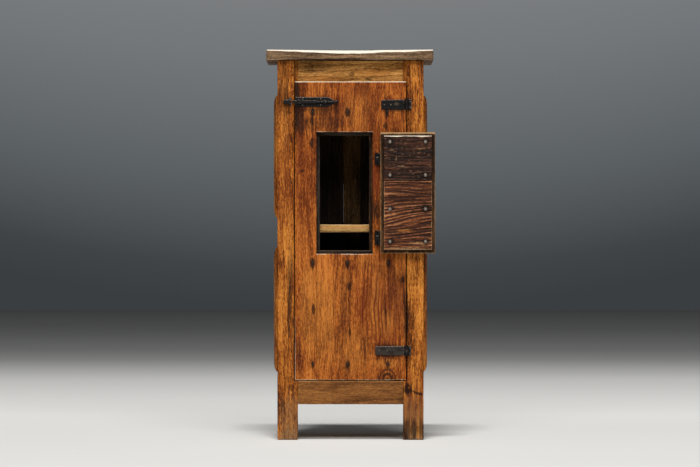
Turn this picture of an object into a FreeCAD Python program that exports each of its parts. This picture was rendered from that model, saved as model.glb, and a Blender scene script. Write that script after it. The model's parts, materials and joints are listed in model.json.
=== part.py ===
import FreeCAD, Part
import math
import os

from FreeCAD import Vector

# A small country cupboard in pine: four posts, rails and raised side panels, one tall plank
# door on strap hinges, and a little hatch in the door that stands folded back at rest.
# Millimetres, +Z up, the front faces -Y. The origin lies on the floor under the middle of the whole.

# Carcase
body_width = 498.0
body_depth = 330.0
body_height = 1291.0
leg_clear_height = 121.0
fit_gap = 1.0
cut_overrun = 5.0

# Posts
front_post_width = 70.0
front_post_depth = 60.0
back_post_width = 62.0
back_post_depth = 50.0
foot_bevel = 4.0

# Rebates: the door closes into the front posts, the back boards into the back posts
door_rebate_width = 13.0
back_rebate_width = 10.0

# Rails
front_rail_thickness = 27.0
front_top_rail_height = 84.0
front_bottom_rail_height = 80.0
back_rail_thickness = 24.0
back_top_rail_height = 90.0
back_bottom_rail_height = 80.0
side_rail_thickness = 27.0
side_rail_setback = 2.0
side_top_rail_height = 113.0
side_middle_rail_height = 93.0
side_middle_rail_bottom = 659.0
side_bottom_rail_height = 106.0

# Mortise and tenon joints and their pegs
tenon_length = 36.0
back_tenon_length = 28.0
side_tenon_length = 30.0
tenon_thickness = 10.0
tenon_margin = 4.0
peg_radius = 4.0
peg_proud = 0.6
peg_inset = 20.0
front_peg_length = 50.0
side_peg_length = 28.0
peg_height_shares = (0.40, 0.70)

# Raised side panels
panel_tongue = 10.0
panel_tongue_thickness = 8.0
panel_gap = 1.5
panel_proud = 14.0
panel_crown_width = 38.0
panel_crown_steps = 6

# Back boards
back_board_thickness = 16.0
back_board_gap = 1.2
back_joint_shares = (0.22, 0.435, 0.593, 0.80)

# Top, in two boards
top_thickness = 36.0
top_left_overhang = 38.0
top_right_overhang = 33.0
top_front_overhang = 24.0
top_back_overhang = 5.0
top_front_board_depth = 215.0
top_front_rounding = 10.0
top_end_rounding = 5.0

# Floor, shelf and the cleats that carry them
floor_thickness = 22.0
shelf_thickness = 27.5
shelf_rise = 46.5
cleat_width = 24.0
cleat_height = 25.0

# Plank door
door_thickness = 27.0
door_edge_gap = 3.0
door_sill_gap = 2.5
door_back_gap = 1.0
door_top_overlap = 12.0
door_plank_gap = 0.6
outer_plank_share = 0.39

# Ledges across the back of the door, and the stops round the hatch opening
ledge_thickness = 20.0
ledge_height = 72.0
ledge_end_gap = 7.0
upper_ledge_drop = 60.0
lower_ledge_rise = 26.0
stop_rim = 12.0
stop_width = 34.0

# Hatch opening and hatch
hatch_head_drop = 172.0
hatch_opening_width = 191.0
hatch_opening_height = 414.0
hatch_free_gap = 3.0
hatch_hinge_gap = 1.5
hatch_end_gap = 1.5
hatch_outer_thickness = 24.0
hatch_inner_thickness = 13.0
hatch_board_gap = 1.0
hatch_board_joint_share = 0.606
hatch_knob_inset = 22.0
hatch_knob_radius = 10.0
hatch_knob_clear = 2.0
hatch_knob_stem_radius = 4.5

# Door hinges: a strap on the door and a short leaf on the post, three knuckles on a pin
door_barrel_radius = 8.0
door_barrel_gap = 0.5
door_pin_radius = 3.2
door_pin_head_radius = 5.0
door_pin_head_height = 2.5
strap_thickness = 3.0
upper_strap_length = 86.0
upper_strap_height = 36.0
upper_leaf_length = 17.0
upper_hinge_drop = 79.5
lower_strap_length = 106.0
lower_strap_height = 32.0
lower_leaf_length = 15.0
lower_hinge_rise = 100.0
strap_tail_share = 0.88
strap_nail_shares = (0.62, 0.88)

# Hatch hinges
hatch_axis_inset = 12.4
hatch_barrel_radius = 5.5
hatch_barrel_gap = 0.5
hatch_pin_radius = 2.2
hatch_pin_head_radius = 3.6
hatch_pin_head_height = 1.8
hatch_leaf_thickness = 2.5
hatch_leaf_length = 44.0
hatch_proud = 0.3
upper_hatch_leaf_height = 40.0
upper_hatch_leaf_drop = 92.0
lower_hatch_leaf_height = 48.0
lower_hatch_leaf_rise = 54.0
hatch_leaf_nail_share = 0.72
knuckle_gap = 0.4
pin_clearance = 0.05
leaf_nail_height_shares = (0.2, 0.8)

# Slide bolt on the door and its keeper on the left post
bolt_drop = 70.0
bolt_plate_thickness = 3.0
bolt_plate_height = 33.0
bolt_plate_length = 112.0
bolt_plate_point = 24.0
bolt_plate_point_height = 8.0
bolt_plate_inset = 1.5
bolt_clearance = 0.4
bolt_depth = 8.0
bolt_head_height = 10.0
bolt_head_length = 82.0
bolt_tail_height = 6.0
bolt_tail_length = 72.0
bolt_bead_radius = 5.0
bolt_tip_reach = 10.0
guide_width = 9.0
guide_wall = 2.0
guide_inset = 8.0
guide_spacing = 86.0
keeper_offset = 2.5
keeper_loop_width = 8.0
keeper_loop_height = 30.0
keeper_foot_thickness = 2.5
keeper_socket_length = 16.0
keeper_wall = 2.0

# Nails
nail_crown_share = 0.55
board_nail_head_radius = 5.0
board_nail_head_height = 1.5
board_nail_radius = 2.0
board_nail_grip = 10.0
top_nail_shares = (-0.86, -0.29, 0.29, 0.86)
cleat_nail_shares = (0.25, 0.75)
door_nail_head_radius = 4.0
door_nail_head_height = 0.6
door_nail_radius = 2.0
door_nail_height_share = 0.42
door_nail_column_shares = (0.84, 0.455, 0.14)
iron_nail_head_radius = 3.2
iron_nail_head_height = 1.6
iron_nail_radius = 1.6
iron_nail_length = 18.0
hatch_nail_head_radius = 7.0
hatch_nail_head_height = 3.0
hatch_nail_radius = 2.4
hatch_nail_length = 30.0
hatch_nail_column_shares = (0.125, 0.865)
hatch_nail_upper_shares = (0.12, 0.86)
hatch_nail_lower_shares = (0.12, 0.59)

# Places worked out from those sizes
side_x = body_width / 2
front_inner_x = side_x - front_post_width
back_inner_x = side_x - back_post_width
rail_outer_x = side_x - side_rail_setback
rail_inner_x = rail_outer_x - side_rail_thickness
hatch_axis_reach = hatch_barrel_radius + hatch_barrel_gap
hatch_face_reach = hatch_axis_reach - hatch_proud
hatch_fold_gap = hatch_axis_reach + hatch_face_reach
hatch_knob_length = hatch_fold_gap - hatch_knob_clear
hatch_reach = (
    hatch_fold_gap
    + hatch_outer_thickness
    + hatch_inner_thickness
    + hatch_nail_head_height
)
front_y = (hatch_reach - body_depth - top_back_overhang) / 2
back_y = front_y + body_depth
back_board_y = back_y - back_board_thickness
bottom_rail_top = leg_clear_height + front_bottom_rail_height
tenon_shoulder = panel_tongue + tenon_margin
door_rebate_depth = door_thickness + door_back_gap
door_back_y = front_y + door_thickness
door_half = front_inner_x + door_rebate_width - door_edge_gap
door_bottom = bottom_rail_top + door_sill_gap
door_top = body_height - front_top_rail_height + door_top_overlap
door_axis_x = door_half + door_edge_gap / 2
door_axis_reach = door_barrel_radius + door_barrel_gap
outer_plank_width = (2 * door_half - hatch_opening_width) * outer_plank_share
left_joint_x = -door_half + outer_plank_width
right_joint_x = door_half - outer_plank_width
opening_left = left_joint_x
opening_right = opening_left + hatch_opening_width
opening_top = door_top - hatch_head_drop
opening_bottom = opening_top - hatch_opening_height
hatch_axis_x = opening_right + hatch_axis_inset
hatch_axis_y = front_y - hatch_axis_reach
hatch_face_y = hatch_axis_y - hatch_face_reach
bolt_z = door_top - bolt_drop
bolt_back_y = front_y - bolt_plate_thickness - bolt_clearance
bolt_front_y = bolt_back_y - bolt_depth
left = -1
right = 1
along_x = Vector(1, 0, 0)
along_y = Vector(0, 1, 0)
along_z = Vector(0, 0, 1)

pieces = {}


def block(x_ends, y_ends, z_ends):
    """Return a box between two places on each axis, given in either order."""
    low = [min(ends) for ends in (x_ends, y_ends, z_ends)]
    high = [max(ends) for ends in (x_ends, y_ends, z_ends)]
    return Part.makeBox(*[b - a for a, b in zip(low, high)], Vector(*low))


def slab(outline, depth):
    """Return the flat shape inside an outline of points, thickened by a vector."""
    return Part.Face(Part.makePolygon(outline + outline[:1])).extrude(depth)


def nail(place, inward, head_radius, head_height, shank_radius, shank_length):
    """Return a forged nail: a crowned head on the surface at place, and a shank into the wood."""
    crown = Part.makeCone(head_radius, head_radius * nail_crown_share, head_height, place, -inward)
    return crown.fuse(Part.makeCylinder(shank_radius, shank_length, place, inward))


def board_nail(place, inward, through):
    """Return a nail that holds a board of the given thickness to the wood behind it."""
    length = through + board_nail_grip
    return nail(place, inward, board_nail_head_radius, board_nail_head_height, board_nail_radius, length)


def iron_nail(place, inward):
    """Return one of the small nails that hold the ironwork."""
    return nail(
        place, inward, iron_nail_head_radius, iron_nail_head_height, iron_nail_radius, iron_nail_length
    )


def cut_from(names, tools):
    """Cut the same tools out of each named piece, which makes its mortises, grooves and nail holes."""
    for name in names:
        pieces[name] = pieces[name].cut(tools)


def between(low, high, share):
    """Return the place at a share of the way from low to high."""
    return low + (high - low) * share


# Posts
def front_post(side):
    """Return a front post with the rebate that the door closes into."""
    y_ends = (front_y, front_y + front_post_depth)
    post = block((side * side_x, side * front_inner_x), y_ends, (0, body_height))
    rebate = block(
        (side * (front_inner_x - cut_overrun), side * (front_inner_x + door_rebate_width)),
        (front_y - cut_overrun, front_y + door_rebate_depth),
        (bottom_rail_top, body_height + cut_overrun),
    )
    return bevel_foot(post).cut(rebate)


def back_post(side):
    """Return a back post with the rebate that the back boards lie in."""
    y_ends = (back_y - back_post_depth, back_y)
    post = block((side * side_x, side * back_inner_x), y_ends, (0, body_height))
    rebate = block(
        (side * (back_inner_x - cut_overrun), side * (back_inner_x + back_rebate_width)),
        (back_board_y, back_y + cut_overrun),
        (leg_clear_height, body_height + cut_overrun),
    )
    return bevel_foot(post).cut(rebate)


def bevel_foot(post):
    """Return the post with the edges round its foot taken off."""
    edges = [edge for edge in post.Edges if edge.BoundBox.ZMax < foot_bevel]
    return post.makeChamfer(foot_bevel, edges)


# Rails
def cross_rail(half, reach, y_ends, z_ends):
    """Return a rail along X between two posts, with a tenon of the given reach at each end."""
    middle_y = sum(y_ends) / 2
    tenon_y = (middle_y - tenon_thickness / 2, middle_y + tenon_thickness / 2)
    tenon_z = (z_ends[0] + tenon_shoulder, z_ends[1] - tenon_shoulder)
    tenons = block((-half - reach, half + reach), tenon_y, tenon_z)
    return block((-half, half), y_ends, z_ends).fuse(tenons).removeSplitter()


def side_rail(side, z_ends):
    """Return a rail along Y between the posts of one side, with a tenon at each end."""
    front_end = front_y + front_post_depth
    back_end = back_y - back_post_depth
    middle_x = side * (rail_outer_x + rail_inner_x) / 2
    tenon_x = (middle_x - tenon_thickness / 2, middle_x + tenon_thickness / 2)
    tenon_z = (z_ends[0] + tenon_shoulder, z_ends[1] - tenon_shoulder)
    tenons = block(tenon_x, (front_end - side_tenon_length, back_end + side_tenon_length), tenon_z)
    bar = block((side * rail_outer_x, side * rail_inner_x), (front_end, back_end), z_ends)
    return bar.fuse(tenons).removeSplitter()


def side_panel(side, z_ends):
    """Return a raised panel: a tongue all round, and a field that swells out past the posts."""
    y_ends = (front_y + front_post_depth, back_y - back_post_depth)
    middle_x = (rail_outer_x + rail_inner_x) / 2
    tongue_x = (middle_x - panel_tongue_thickness / 2, middle_x + panel_tongue_thickness / 2)
    tongue = block(
        [side * x for x in tongue_x],
        (y_ends[0] - panel_tongue, y_ends[1] + panel_tongue),
        (z_ends[0] - panel_tongue, z_ends[1] + panel_tongue),
    )
    field_y = (y_ends[0] + panel_gap, y_ends[1] - panel_gap)
    field_z = (z_ends[0] + panel_gap, z_ends[1] - panel_gap)
    field = block((side * tongue_x[0], side * rail_outer_x), field_y, field_z)
    swell = side_x + panel_proud - rail_outer_x
    rings = []
    for step in range(panel_crown_steps + 1):
        turn = math.pi / 2 * step / panel_crown_steps
        inset = panel_crown_width * (1 - math.cos(turn))
        x = side * (rail_outer_x + swell * math.sin(turn))
        y0, y1 = field_y[0] + inset, field_y[1] - inset
        z0, z1 = field_z[0] + inset, field_z[1] - inset
        corners = [Vector(x, y0, z0), Vector(x, y1, z0), Vector(x, y1, z1), Vector(x, y0, z1)]
        rings.append(Part.makePolygon(corners + corners[:1]))
    crown = Part.makeLoft(rings, True, True)
    return tongue.fuse([field, crown]).removeSplitter()


def make_frame():
    """Make the posts, rails, panels and pegs, and cut every mortise, groove and peg hole."""
    for side, word in ((left, "left"), (right, "right")):
        pieces[f"front_{word}_post"] = front_post(side)
        pieces[f"back_{word}_post"] = back_post(side)
    cross_rail_places = {
        "front_top_rail": (front_inner_x, tenon_length, front_y + door_rebate_depth, front_rail_thickness),
        "front_bottom_rail": (front_inner_x, tenon_length, front_y, front_rail_thickness),
        "back_top_rail": (back_inner_x, back_tenon_length, back_board_y, -back_rail_thickness),
        "back_bottom_rail": (back_inner_x, back_tenon_length, back_board_y, -back_rail_thickness),
    }
    cross_rail_heights = {
        "front_top_rail": (body_height - front_top_rail_height, body_height),
        "front_bottom_rail": (leg_clear_height, bottom_rail_top),
        "back_top_rail": (body_height - back_top_rail_height, body_height),
        "back_bottom_rail": (leg_clear_height, leg_clear_height + back_bottom_rail_height),
    }
    for name, (half, reach, y, thickness) in cross_rail_places.items():
        pieces[name] = cross_rail(half, reach, (y, y + thickness), cross_rail_heights[name])
    middle_top = side_middle_rail_bottom + side_middle_rail_height
    rail_ends = {
        "top": (body_height - side_top_rail_height, body_height),
        "middle": (side_middle_rail_bottom, middle_top),
        "bottom": (leg_clear_height, leg_clear_height + side_bottom_rail_height),
    }
    panel_ends = {
        "upper": (middle_top, rail_ends["top"][0]),
        "lower": (rail_ends["bottom"][1], side_middle_rail_bottom),
    }
    pegs = front_pegs()
    for side, word in ((left, "left"), (right, "right")):
        rails = [f"{word}_{level}_rail" for level in rail_ends]
        panels = [f"{word}_{level}_panel" for level in panel_ends]
        posts = [f"front_{word}_post", f"back_{word}_post"]
        for name, ends in zip(rails, rail_ends.values()):
            pieces[name] = side_rail(side, ends)
        for name, ends in zip(panels, panel_ends.values()):
            pieces[name] = side_panel(side, ends)
        pegs += side_pegs(side, rail_ends.values())
        cut_from(rails, [pieces[name] for name in panels])
        cut_from(posts, [pieces[name] for name in rails + panels])
    cross_rails = list(cross_rail_places)
    cut_from(
        ("front_left_post", "front_right_post", "back_left_post", "back_right_post"),
        [pieces[name] for name in cross_rails] + pegs,
    )
    side_rails = [f"{word}_{level}_rail" for word in ("left", "right") for level in rail_ends]
    cut_from(cross_rails + side_rails, pegs)
    pieces["joint_pegs"] = Part.makeCompound(pegs)


def front_pegs():
    """Return the pegs that pin the two front rails, driven in from the front."""
    pegs = []
    for low, height in (
        (leg_clear_height, front_bottom_rail_height),
        (body_height - front_top_rail_height, front_top_rail_height),
    ):
        for share in peg_height_shares:
            for side in (left, right):
                place = Vector(side * (front_inner_x + peg_inset), front_y - peg_proud, low + height * share)
                pegs.append(Part.makeCylinder(peg_radius, front_peg_length, place, along_y))
    return pegs


def side_pegs(side, rail_ends):
    """Return the pegs that pin the rails of one side, driven in from outside."""
    pegs = []
    front_peg_y = front_y + front_post_depth - side_tenon_length / 2
    back_peg_y = back_y - back_post_depth + side_tenon_length / 2
    for low, high in rail_ends:
        for share in peg_height_shares:
            for y in (front_peg_y, back_peg_y):
                place = Vector(side * (side_x + peg_proud), y, between(low, high, share))
                pegs.append(Part.makeCylinder(peg_radius, side_peg_length, place, along_x * -side))
    return pegs


# Back, top, floor and shelf
def make_back():
    """Make the upright back boards, which lie in the rebates of the back posts."""
    half = back_inner_x + back_rebate_width - fit_gap
    edges = [-half] + [between(-half, half, share) for share in back_joint_shares] + [half]
    for count, (start, end) in enumerate(zip(edges, edges[1:]), 1):
        pieces[f"back_board_{count}"] = block(
            (start + back_board_gap / 2, end - back_board_gap / 2),
            (back_board_y, back_y),
            (leg_clear_height, body_height),
        )
    return [(start + end) / 2 for start, end in zip(edges, edges[1:])]


def make_top():
    """Make the two boards of the top, with the front arris and both ends rounded."""
    x_ends = (-side_x - top_left_overhang, side_x + top_right_overhang)
    front = front_y - top_front_overhang
    joint = front + top_front_board_depth
    z_ends = (body_height, body_height + top_thickness)
    for name, y_ends in (
        ("top_front_board", (front, joint)),
        ("top_back_board", (joint, back_y + top_back_overhang)),
    ):
        board = block(x_ends, y_ends, z_ends)
        upper = [edge for edge in board.Edges if edge.BoundBox.ZMin > body_height]
        ends = [edge for edge in upper if edge.BoundBox.XLength < top_thickness]
        pieces[name] = board.makeFillet(top_end_rounding, ends)
    worn = pieces["top_front_board"]
    arris = [
        edge
        for edge in worn.Edges
        if edge.BoundBox.ZMin > body_height + top_thickness / 2
        and edge.BoundBox.YMax < front + top_end_rounding
        and edge.BoundBox.XLength > top_thickness
    ]
    pieces["top_front_board"] = worn.makeFillet(top_front_rounding, arris)


def notched_board(front, z_ends):
    """Return a board inside the carcase, notched round whichever posts it passes."""
    front_notch = front_y + front_post_depth + fit_gap
    back_notch = back_y - back_post_depth - fit_gap
    board = block(
        (rail_inner_x - fit_gap, fit_gap - rail_inner_x), (front, back_board_y - fit_gap), z_ends
    )
    notches = []
    for side in (left, right):
        outer = side * (side_x + cut_overrun)
        front_inner = side * (front_inner_x - fit_gap)
        back_inner = side * (back_inner_x - fit_gap)
        notches.append(block((front_inner, outer), (front_y - cut_overrun, front_notch), z_ends))
        notches.append(block((back_inner, outer), (back_notch, back_y + cut_overrun), z_ends))
    return board.cut(notches)


def make_inside():
    """Make the floor and the shelf, and the cleats on the side rails that carry them."""
    floor_bottom = bottom_rail_top - floor_thickness
    shelf_bottom = side_middle_rail_bottom + shelf_rise
    floor_front = front_y + front_rail_thickness + fit_gap
    floor = notched_board(floor_front, (floor_bottom, bottom_rail_top))
    rail_gap = block(
        (-back_inner_x, back_inner_x),
        (back_board_y - back_rail_thickness - fit_gap, back_y),
        (leg_clear_height, bottom_rail_top),
    )
    pieces["floor_board"] = floor.cut(rail_gap)
    shelf_front = front_y + front_post_depth + fit_gap
    pieces["shelf"] = notched_board(shelf_front, (shelf_bottom, shelf_bottom + shelf_thickness))
    y_ends = (front_y + front_post_depth + fit_gap, back_y - back_post_depth - fit_gap)
    for label, bottom in (("floor", floor_bottom), ("shelf", shelf_bottom)):
        cleats = []
        for side in (left, right):
            x_ends = (side * rail_inner_x, side * (rail_inner_x - cleat_width))
            cleats.append(block(x_ends, y_ends, (bottom - cleat_height, bottom)))
        pieces[f"{label}_cleats"] = Part.makeCompound(cleats)
    return y_ends, (floor_bottom - cleat_height / 2, shelf_bottom - cleat_height / 2)


def make_carcase_nails(back_centres, cleat_y_ends, cleat_heights):
    """Make the nails of the top, the back and the cleats, and the holes that they fill."""
    nails = []
    front_row = front_y + door_rebate_depth + front_rail_thickness / 2
    back_row = back_board_y - back_rail_thickness / 2
    for share in top_nail_shares:
        for y in (front_row, back_row):
            place = Vector(side_x * share, y, body_height + top_thickness)
            nails.append(board_nail(place, -along_z, top_thickness))
    for x in back_centres:
        for z in (body_height - back_top_rail_height / 2, leg_clear_height + back_bottom_rail_height / 2):
            nails.append(board_nail(Vector(x, back_y, z), -along_y, back_board_thickness))
    for side in (left, right):
        for share in cleat_nail_shares:
            for z in cleat_heights:
                place = Vector(side * (rail_inner_x - cleat_width), between(*cleat_y_ends, share), z)
                nails.append(board_nail(place, along_x * side, cleat_width))
    held = [name for name in pieces if name not in ("joint_pegs", "floor_board", "shelf")]
    cut_from(held, nails)
    pieces["carcase_nails"] = Part.makeCompound(nails)


# Door
def make_door():
    """Make the three planks, the ledges behind them, and the stops round the hatch opening."""
    y_ends = (front_y, door_back_y)
    z_ends = (door_bottom, door_top)
    half_gap = door_plank_gap / 2
    opening = block(
        (opening_left - cut_overrun, opening_right),
        (front_y - cut_overrun, door_back_y + cut_overrun),
        (opening_bottom, opening_top),
    )
    pieces["door_left_plank"] = block((-door_half, left_joint_x - half_gap), y_ends, z_ends)
    middle = block((left_joint_x + half_gap, right_joint_x - half_gap), y_ends, z_ends)
    pieces["door_middle_plank"] = middle.cut(opening)
    pieces["door_right_plank"] = block((right_joint_x + half_gap, door_half), y_ends, z_ends)
    half = front_inner_x - ledge_end_gap
    back_ends = (door_back_y, door_back_y + ledge_thickness)
    ledge_tops = {
        "upper": door_top - upper_ledge_drop,
        "middle": opening_bottom + stop_rim,
        "lower": door_bottom + lower_ledge_rise + ledge_height,
    }
    nails = []
    plank_ends = ((-door_half, left_joint_x), (left_joint_x, right_joint_x), (right_joint_x, door_half))
    columns = [between(*ends, share) for ends, share in zip(plank_ends, door_nail_column_shares)]
    for level, top in ledge_tops.items():
        pieces[f"door_{level}_ledge"] = block((-half, half), back_ends, (top - ledge_height, top))
        for x in columns:
            place = Vector(x, front_y, between(top - ledge_height, top, door_nail_height_share))
            length = door_thickness + ledge_thickness
            nails.append(
                nail(place, along_y, door_nail_head_radius, door_nail_head_height, door_nail_radius, length)
            )
    overlap = stop_width - stop_rim
    pieces["hatch_top_stop"] = block(
        (opening_left - overlap, opening_right + overlap),
        back_ends,
        (opening_top - stop_rim, opening_top + overlap),
    )
    upright = (opening_bottom + stop_rim, opening_top - stop_rim)
    left_ends = (opening_left - overlap, opening_left + stop_rim)
    right_ends = (opening_right - stop_rim, opening_right + overlap)
    pieces["hatch_left_stop"] = block(left_ends, back_ends, upright)
    pieces["hatch_right_stop"] = block(right_ends, back_ends, upright)
    return nails


# Hinges
def knuckle_ends(bottom, height):
    """Return the height ranges of the two fixed knuckles and of the moving one between them."""
    third = height / 3
    fixed = ((bottom, bottom + third), (bottom + height - third, bottom + height))
    return fixed, (bottom + third + knuckle_gap, bottom + height - third - knuckle_gap)


def leaf(axis, reach, radius, pin_radius, plate_y, outline, own, other):
    """Return a hinge leaf: a plate with its own knuckles, cleared round the other leaf's knuckles.

    axis is the pin's x and y, reach and outline give the plate, and own and other are height ranges.
    """
    plate = slab([Vector(x, plate_y[0], z) for x, z in outline], along_y * (plate_y[1] - plate_y[0]))
    clear = radius + knuckle_gap
    tools = []
    for low, high in other:
        ends = (low - knuckle_gap, high + knuckle_gap)
        tools.append(block((axis[0] - clear, axis[0] + clear), (axis[1] - reach, axis[1] + reach), ends))
    body = plate.cut(tools)
    for low, high in own:
        body = body.fuse(Part.makeCylinder(radius, high - low, Vector(*axis, low)))
    low = min(z for x, z in outline) - cut_overrun
    high = max(z for x, z in outline) + cut_overrun
    bore = Part.makeCylinder(pin_radius + pin_clearance, high - low, Vector(*axis, low))
    return body.cut(bore).removeSplitter()


def headed_pin(axis, bottom, height, radius, head_radius, head_height):
    """Return a hinge pin that hangs by its head on the top knuckle."""
    shank = Part.makeCylinder(radius, height, Vector(*axis, bottom))
    return shank.fuse(Part.makeCylinder(head_radius, head_height, Vector(*axis, bottom + height)))


def make_door_hinge(word, middle_z, height, strap_length, leaf_length):
    """Make one door hinge, and return its pin and the nails of its strap and of its leaf."""
    axis = (door_axis_x, front_y - door_axis_reach)
    bottom = middle_z - height / 2
    fixed, moving = knuckle_ends(bottom, height)
    plate_y = (front_y - strap_thickness, front_y)
    tail = height * strap_tail_share / 2
    tip_x = door_axis_x - strap_length
    strap_outline = [
        (door_axis_x, bottom),
        (door_axis_x, bottom + height),
        (tip_x, middle_z + tail),
        (tip_x, middle_z - tail),
    ]
    end_x = door_axis_x + leaf_length
    leaf_outline = [
        (door_axis_x, bottom),
        (door_axis_x, bottom + height),
        (end_x, bottom + height),
        (end_x, bottom),
    ]
    sizes = (door_axis_reach + cut_overrun, door_barrel_radius, door_pin_radius, plate_y)
    pieces[f"{word}_strap"] = leaf(axis, *sizes, strap_outline, [moving], fixed)
    pieces[f"{word}_post_leaf"] = leaf(axis, *sizes, leaf_outline, fixed, [moving])
    pin = headed_pin(axis, bottom, height, door_pin_radius, door_pin_head_radius, door_pin_head_height)
    surface = front_y - strap_thickness
    strap_nails = [
        iron_nail(Vector(between(door_axis_x, tip_x, share), surface, middle_z), along_y)
        for share in strap_nail_shares
    ]
    nail_x = end_x - iron_nail_head_radius - fit_gap
    leaf_nails = [
        iron_nail(Vector(nail_x, surface, bottom + height * share), along_y)
        for share in leaf_nail_height_shares
    ]
    return pin, strap_nails, leaf_nails


def make_hatch_hinge(bottom, height):
    """Return one hatch hinge, folded open: door leaf, hatch leaf, pin, and the nails of each leaf."""
    axis = (hatch_axis_x, hatch_axis_y)
    fixed, moving = knuckle_ends(bottom, height)
    door_plate_y = (front_y - hatch_leaf_thickness, front_y)
    hatch_plate_y = (hatch_face_y, hatch_face_y + hatch_leaf_thickness)
    end_x = hatch_axis_x + hatch_leaf_length
    outline = [
        (hatch_axis_x, bottom),
        (hatch_axis_x, bottom + height),
        (end_x, bottom + height),
        (end_x, bottom),
    ]
    sizes = (hatch_axis_reach + cut_overrun, hatch_barrel_radius, hatch_pin_radius)
    door_leaf = leaf(axis, *sizes, door_plate_y, outline, fixed, [moving])
    hatch_leaf = leaf(axis, *sizes, hatch_plate_y, outline, [moving], fixed)
    pin = headed_pin(axis, bottom, height, hatch_pin_radius, hatch_pin_head_radius, hatch_pin_head_height)
    nail_x = between(hatch_axis_x, end_x, hatch_leaf_nail_share)
    door_nails = []
    hatch_nails = []
    for share in leaf_nail_height_shares:
        z = bottom + height * share
        door_nails.append(iron_nail(Vector(nail_x, door_plate_y[0], z), along_y))
        hatch_nails.append(iron_nail(Vector(nail_x, hatch_plate_y[1], z), -along_y))
    return door_leaf, hatch_leaf, pin, door_nails, hatch_nails


# Hatch, built where it stands folded back beside its opening
def make_hatch(hinge_nails):
    """Make the outer board, the two inner boards with their nails, and the knob on the outer face."""
    near_x = 2 * hatch_axis_x - opening_right + hatch_hinge_gap
    far_x = 2 * hatch_axis_x - opening_left - hatch_free_gap
    z_ends = (opening_bottom + hatch_end_gap, opening_top - hatch_end_gap)
    middle_y = hatch_face_y - hatch_outer_thickness
    outer = block((near_x, far_x), (middle_y, hatch_face_y), z_ends)
    inner_x = (near_x + stop_rim, far_x - stop_rim)
    inner_y = (middle_y - hatch_inner_thickness, middle_y)
    low = z_ends[0] + stop_rim
    high = z_ends[1] - stop_rim
    joint = between(low, high, hatch_board_joint_share)
    lower_z = (low, joint - hatch_board_gap / 2)
    upper_z = (joint + hatch_board_gap / 2, high)
    nails = []
    for ends, shares in ((lower_z, hatch_nail_lower_shares), (upper_z, hatch_nail_upper_shares)):
        for height_share in shares:
            for column_share in hatch_nail_column_shares:
                place = Vector(between(*inner_x, column_share), inner_y[0], between(*ends, height_share))
                nails.append(
                    nail(
                        place,
                        along_y,
                        hatch_nail_head_radius,
                        hatch_nail_head_height,
                        hatch_nail_radius,
                        hatch_nail_length,
                    )
                )
    nails += hinge_nails
    knob_place = Vector(far_x - hatch_knob_inset, middle_y, sum(z_ends) / 2)
    stem_length = hatch_outer_thickness + hatch_knob_length / 2
    stem = Part.makeCylinder(hatch_knob_stem_radius, stem_length, knob_place, along_y)
    knob_face = Vector(knob_place.x, hatch_face_y + hatch_knob_length / 2, knob_place.z)
    knob = Part.makeCone(
        hatch_knob_stem_radius, hatch_knob_radius, hatch_knob_length / 2, knob_face, along_y
    )
    pieces["hatch_knob"] = stem.fuse(knob)
    pieces["hatch_outer_board"] = outer.cut(nails + [pieces["hatch_knob"]])
    pieces["hatch_lower_inner_board"] = block(inner_x, inner_y, lower_z).cut(nails)
    pieces["hatch_upper_inner_board"] = block(inner_x, inner_y, upper_z).cut(nails)
    pieces["hatch_nails"] = Part.makeCompound(nails)


# Slide bolt
def bridge(x_ends, bar_height, wall, foot_y):
    """Return a forged bridge over the bolt, open underneath, that stands on the surface at foot_y."""
    half_hole = bar_height / 2 + bolt_clearance
    half = half_hole + wall
    hole_y = (bolt_front_y - bolt_clearance, bolt_back_y + bolt_clearance)
    arch = block(x_ends, (hole_y[0] - wall, foot_y), (bolt_z - half, bolt_z + half))
    hole_x = (min(x_ends) - cut_overrun, max(x_ends) + cut_overrun)
    return arch.cut(block(hole_x, hole_y, (bolt_z - half_hole, bolt_z + half_hole)))


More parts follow.
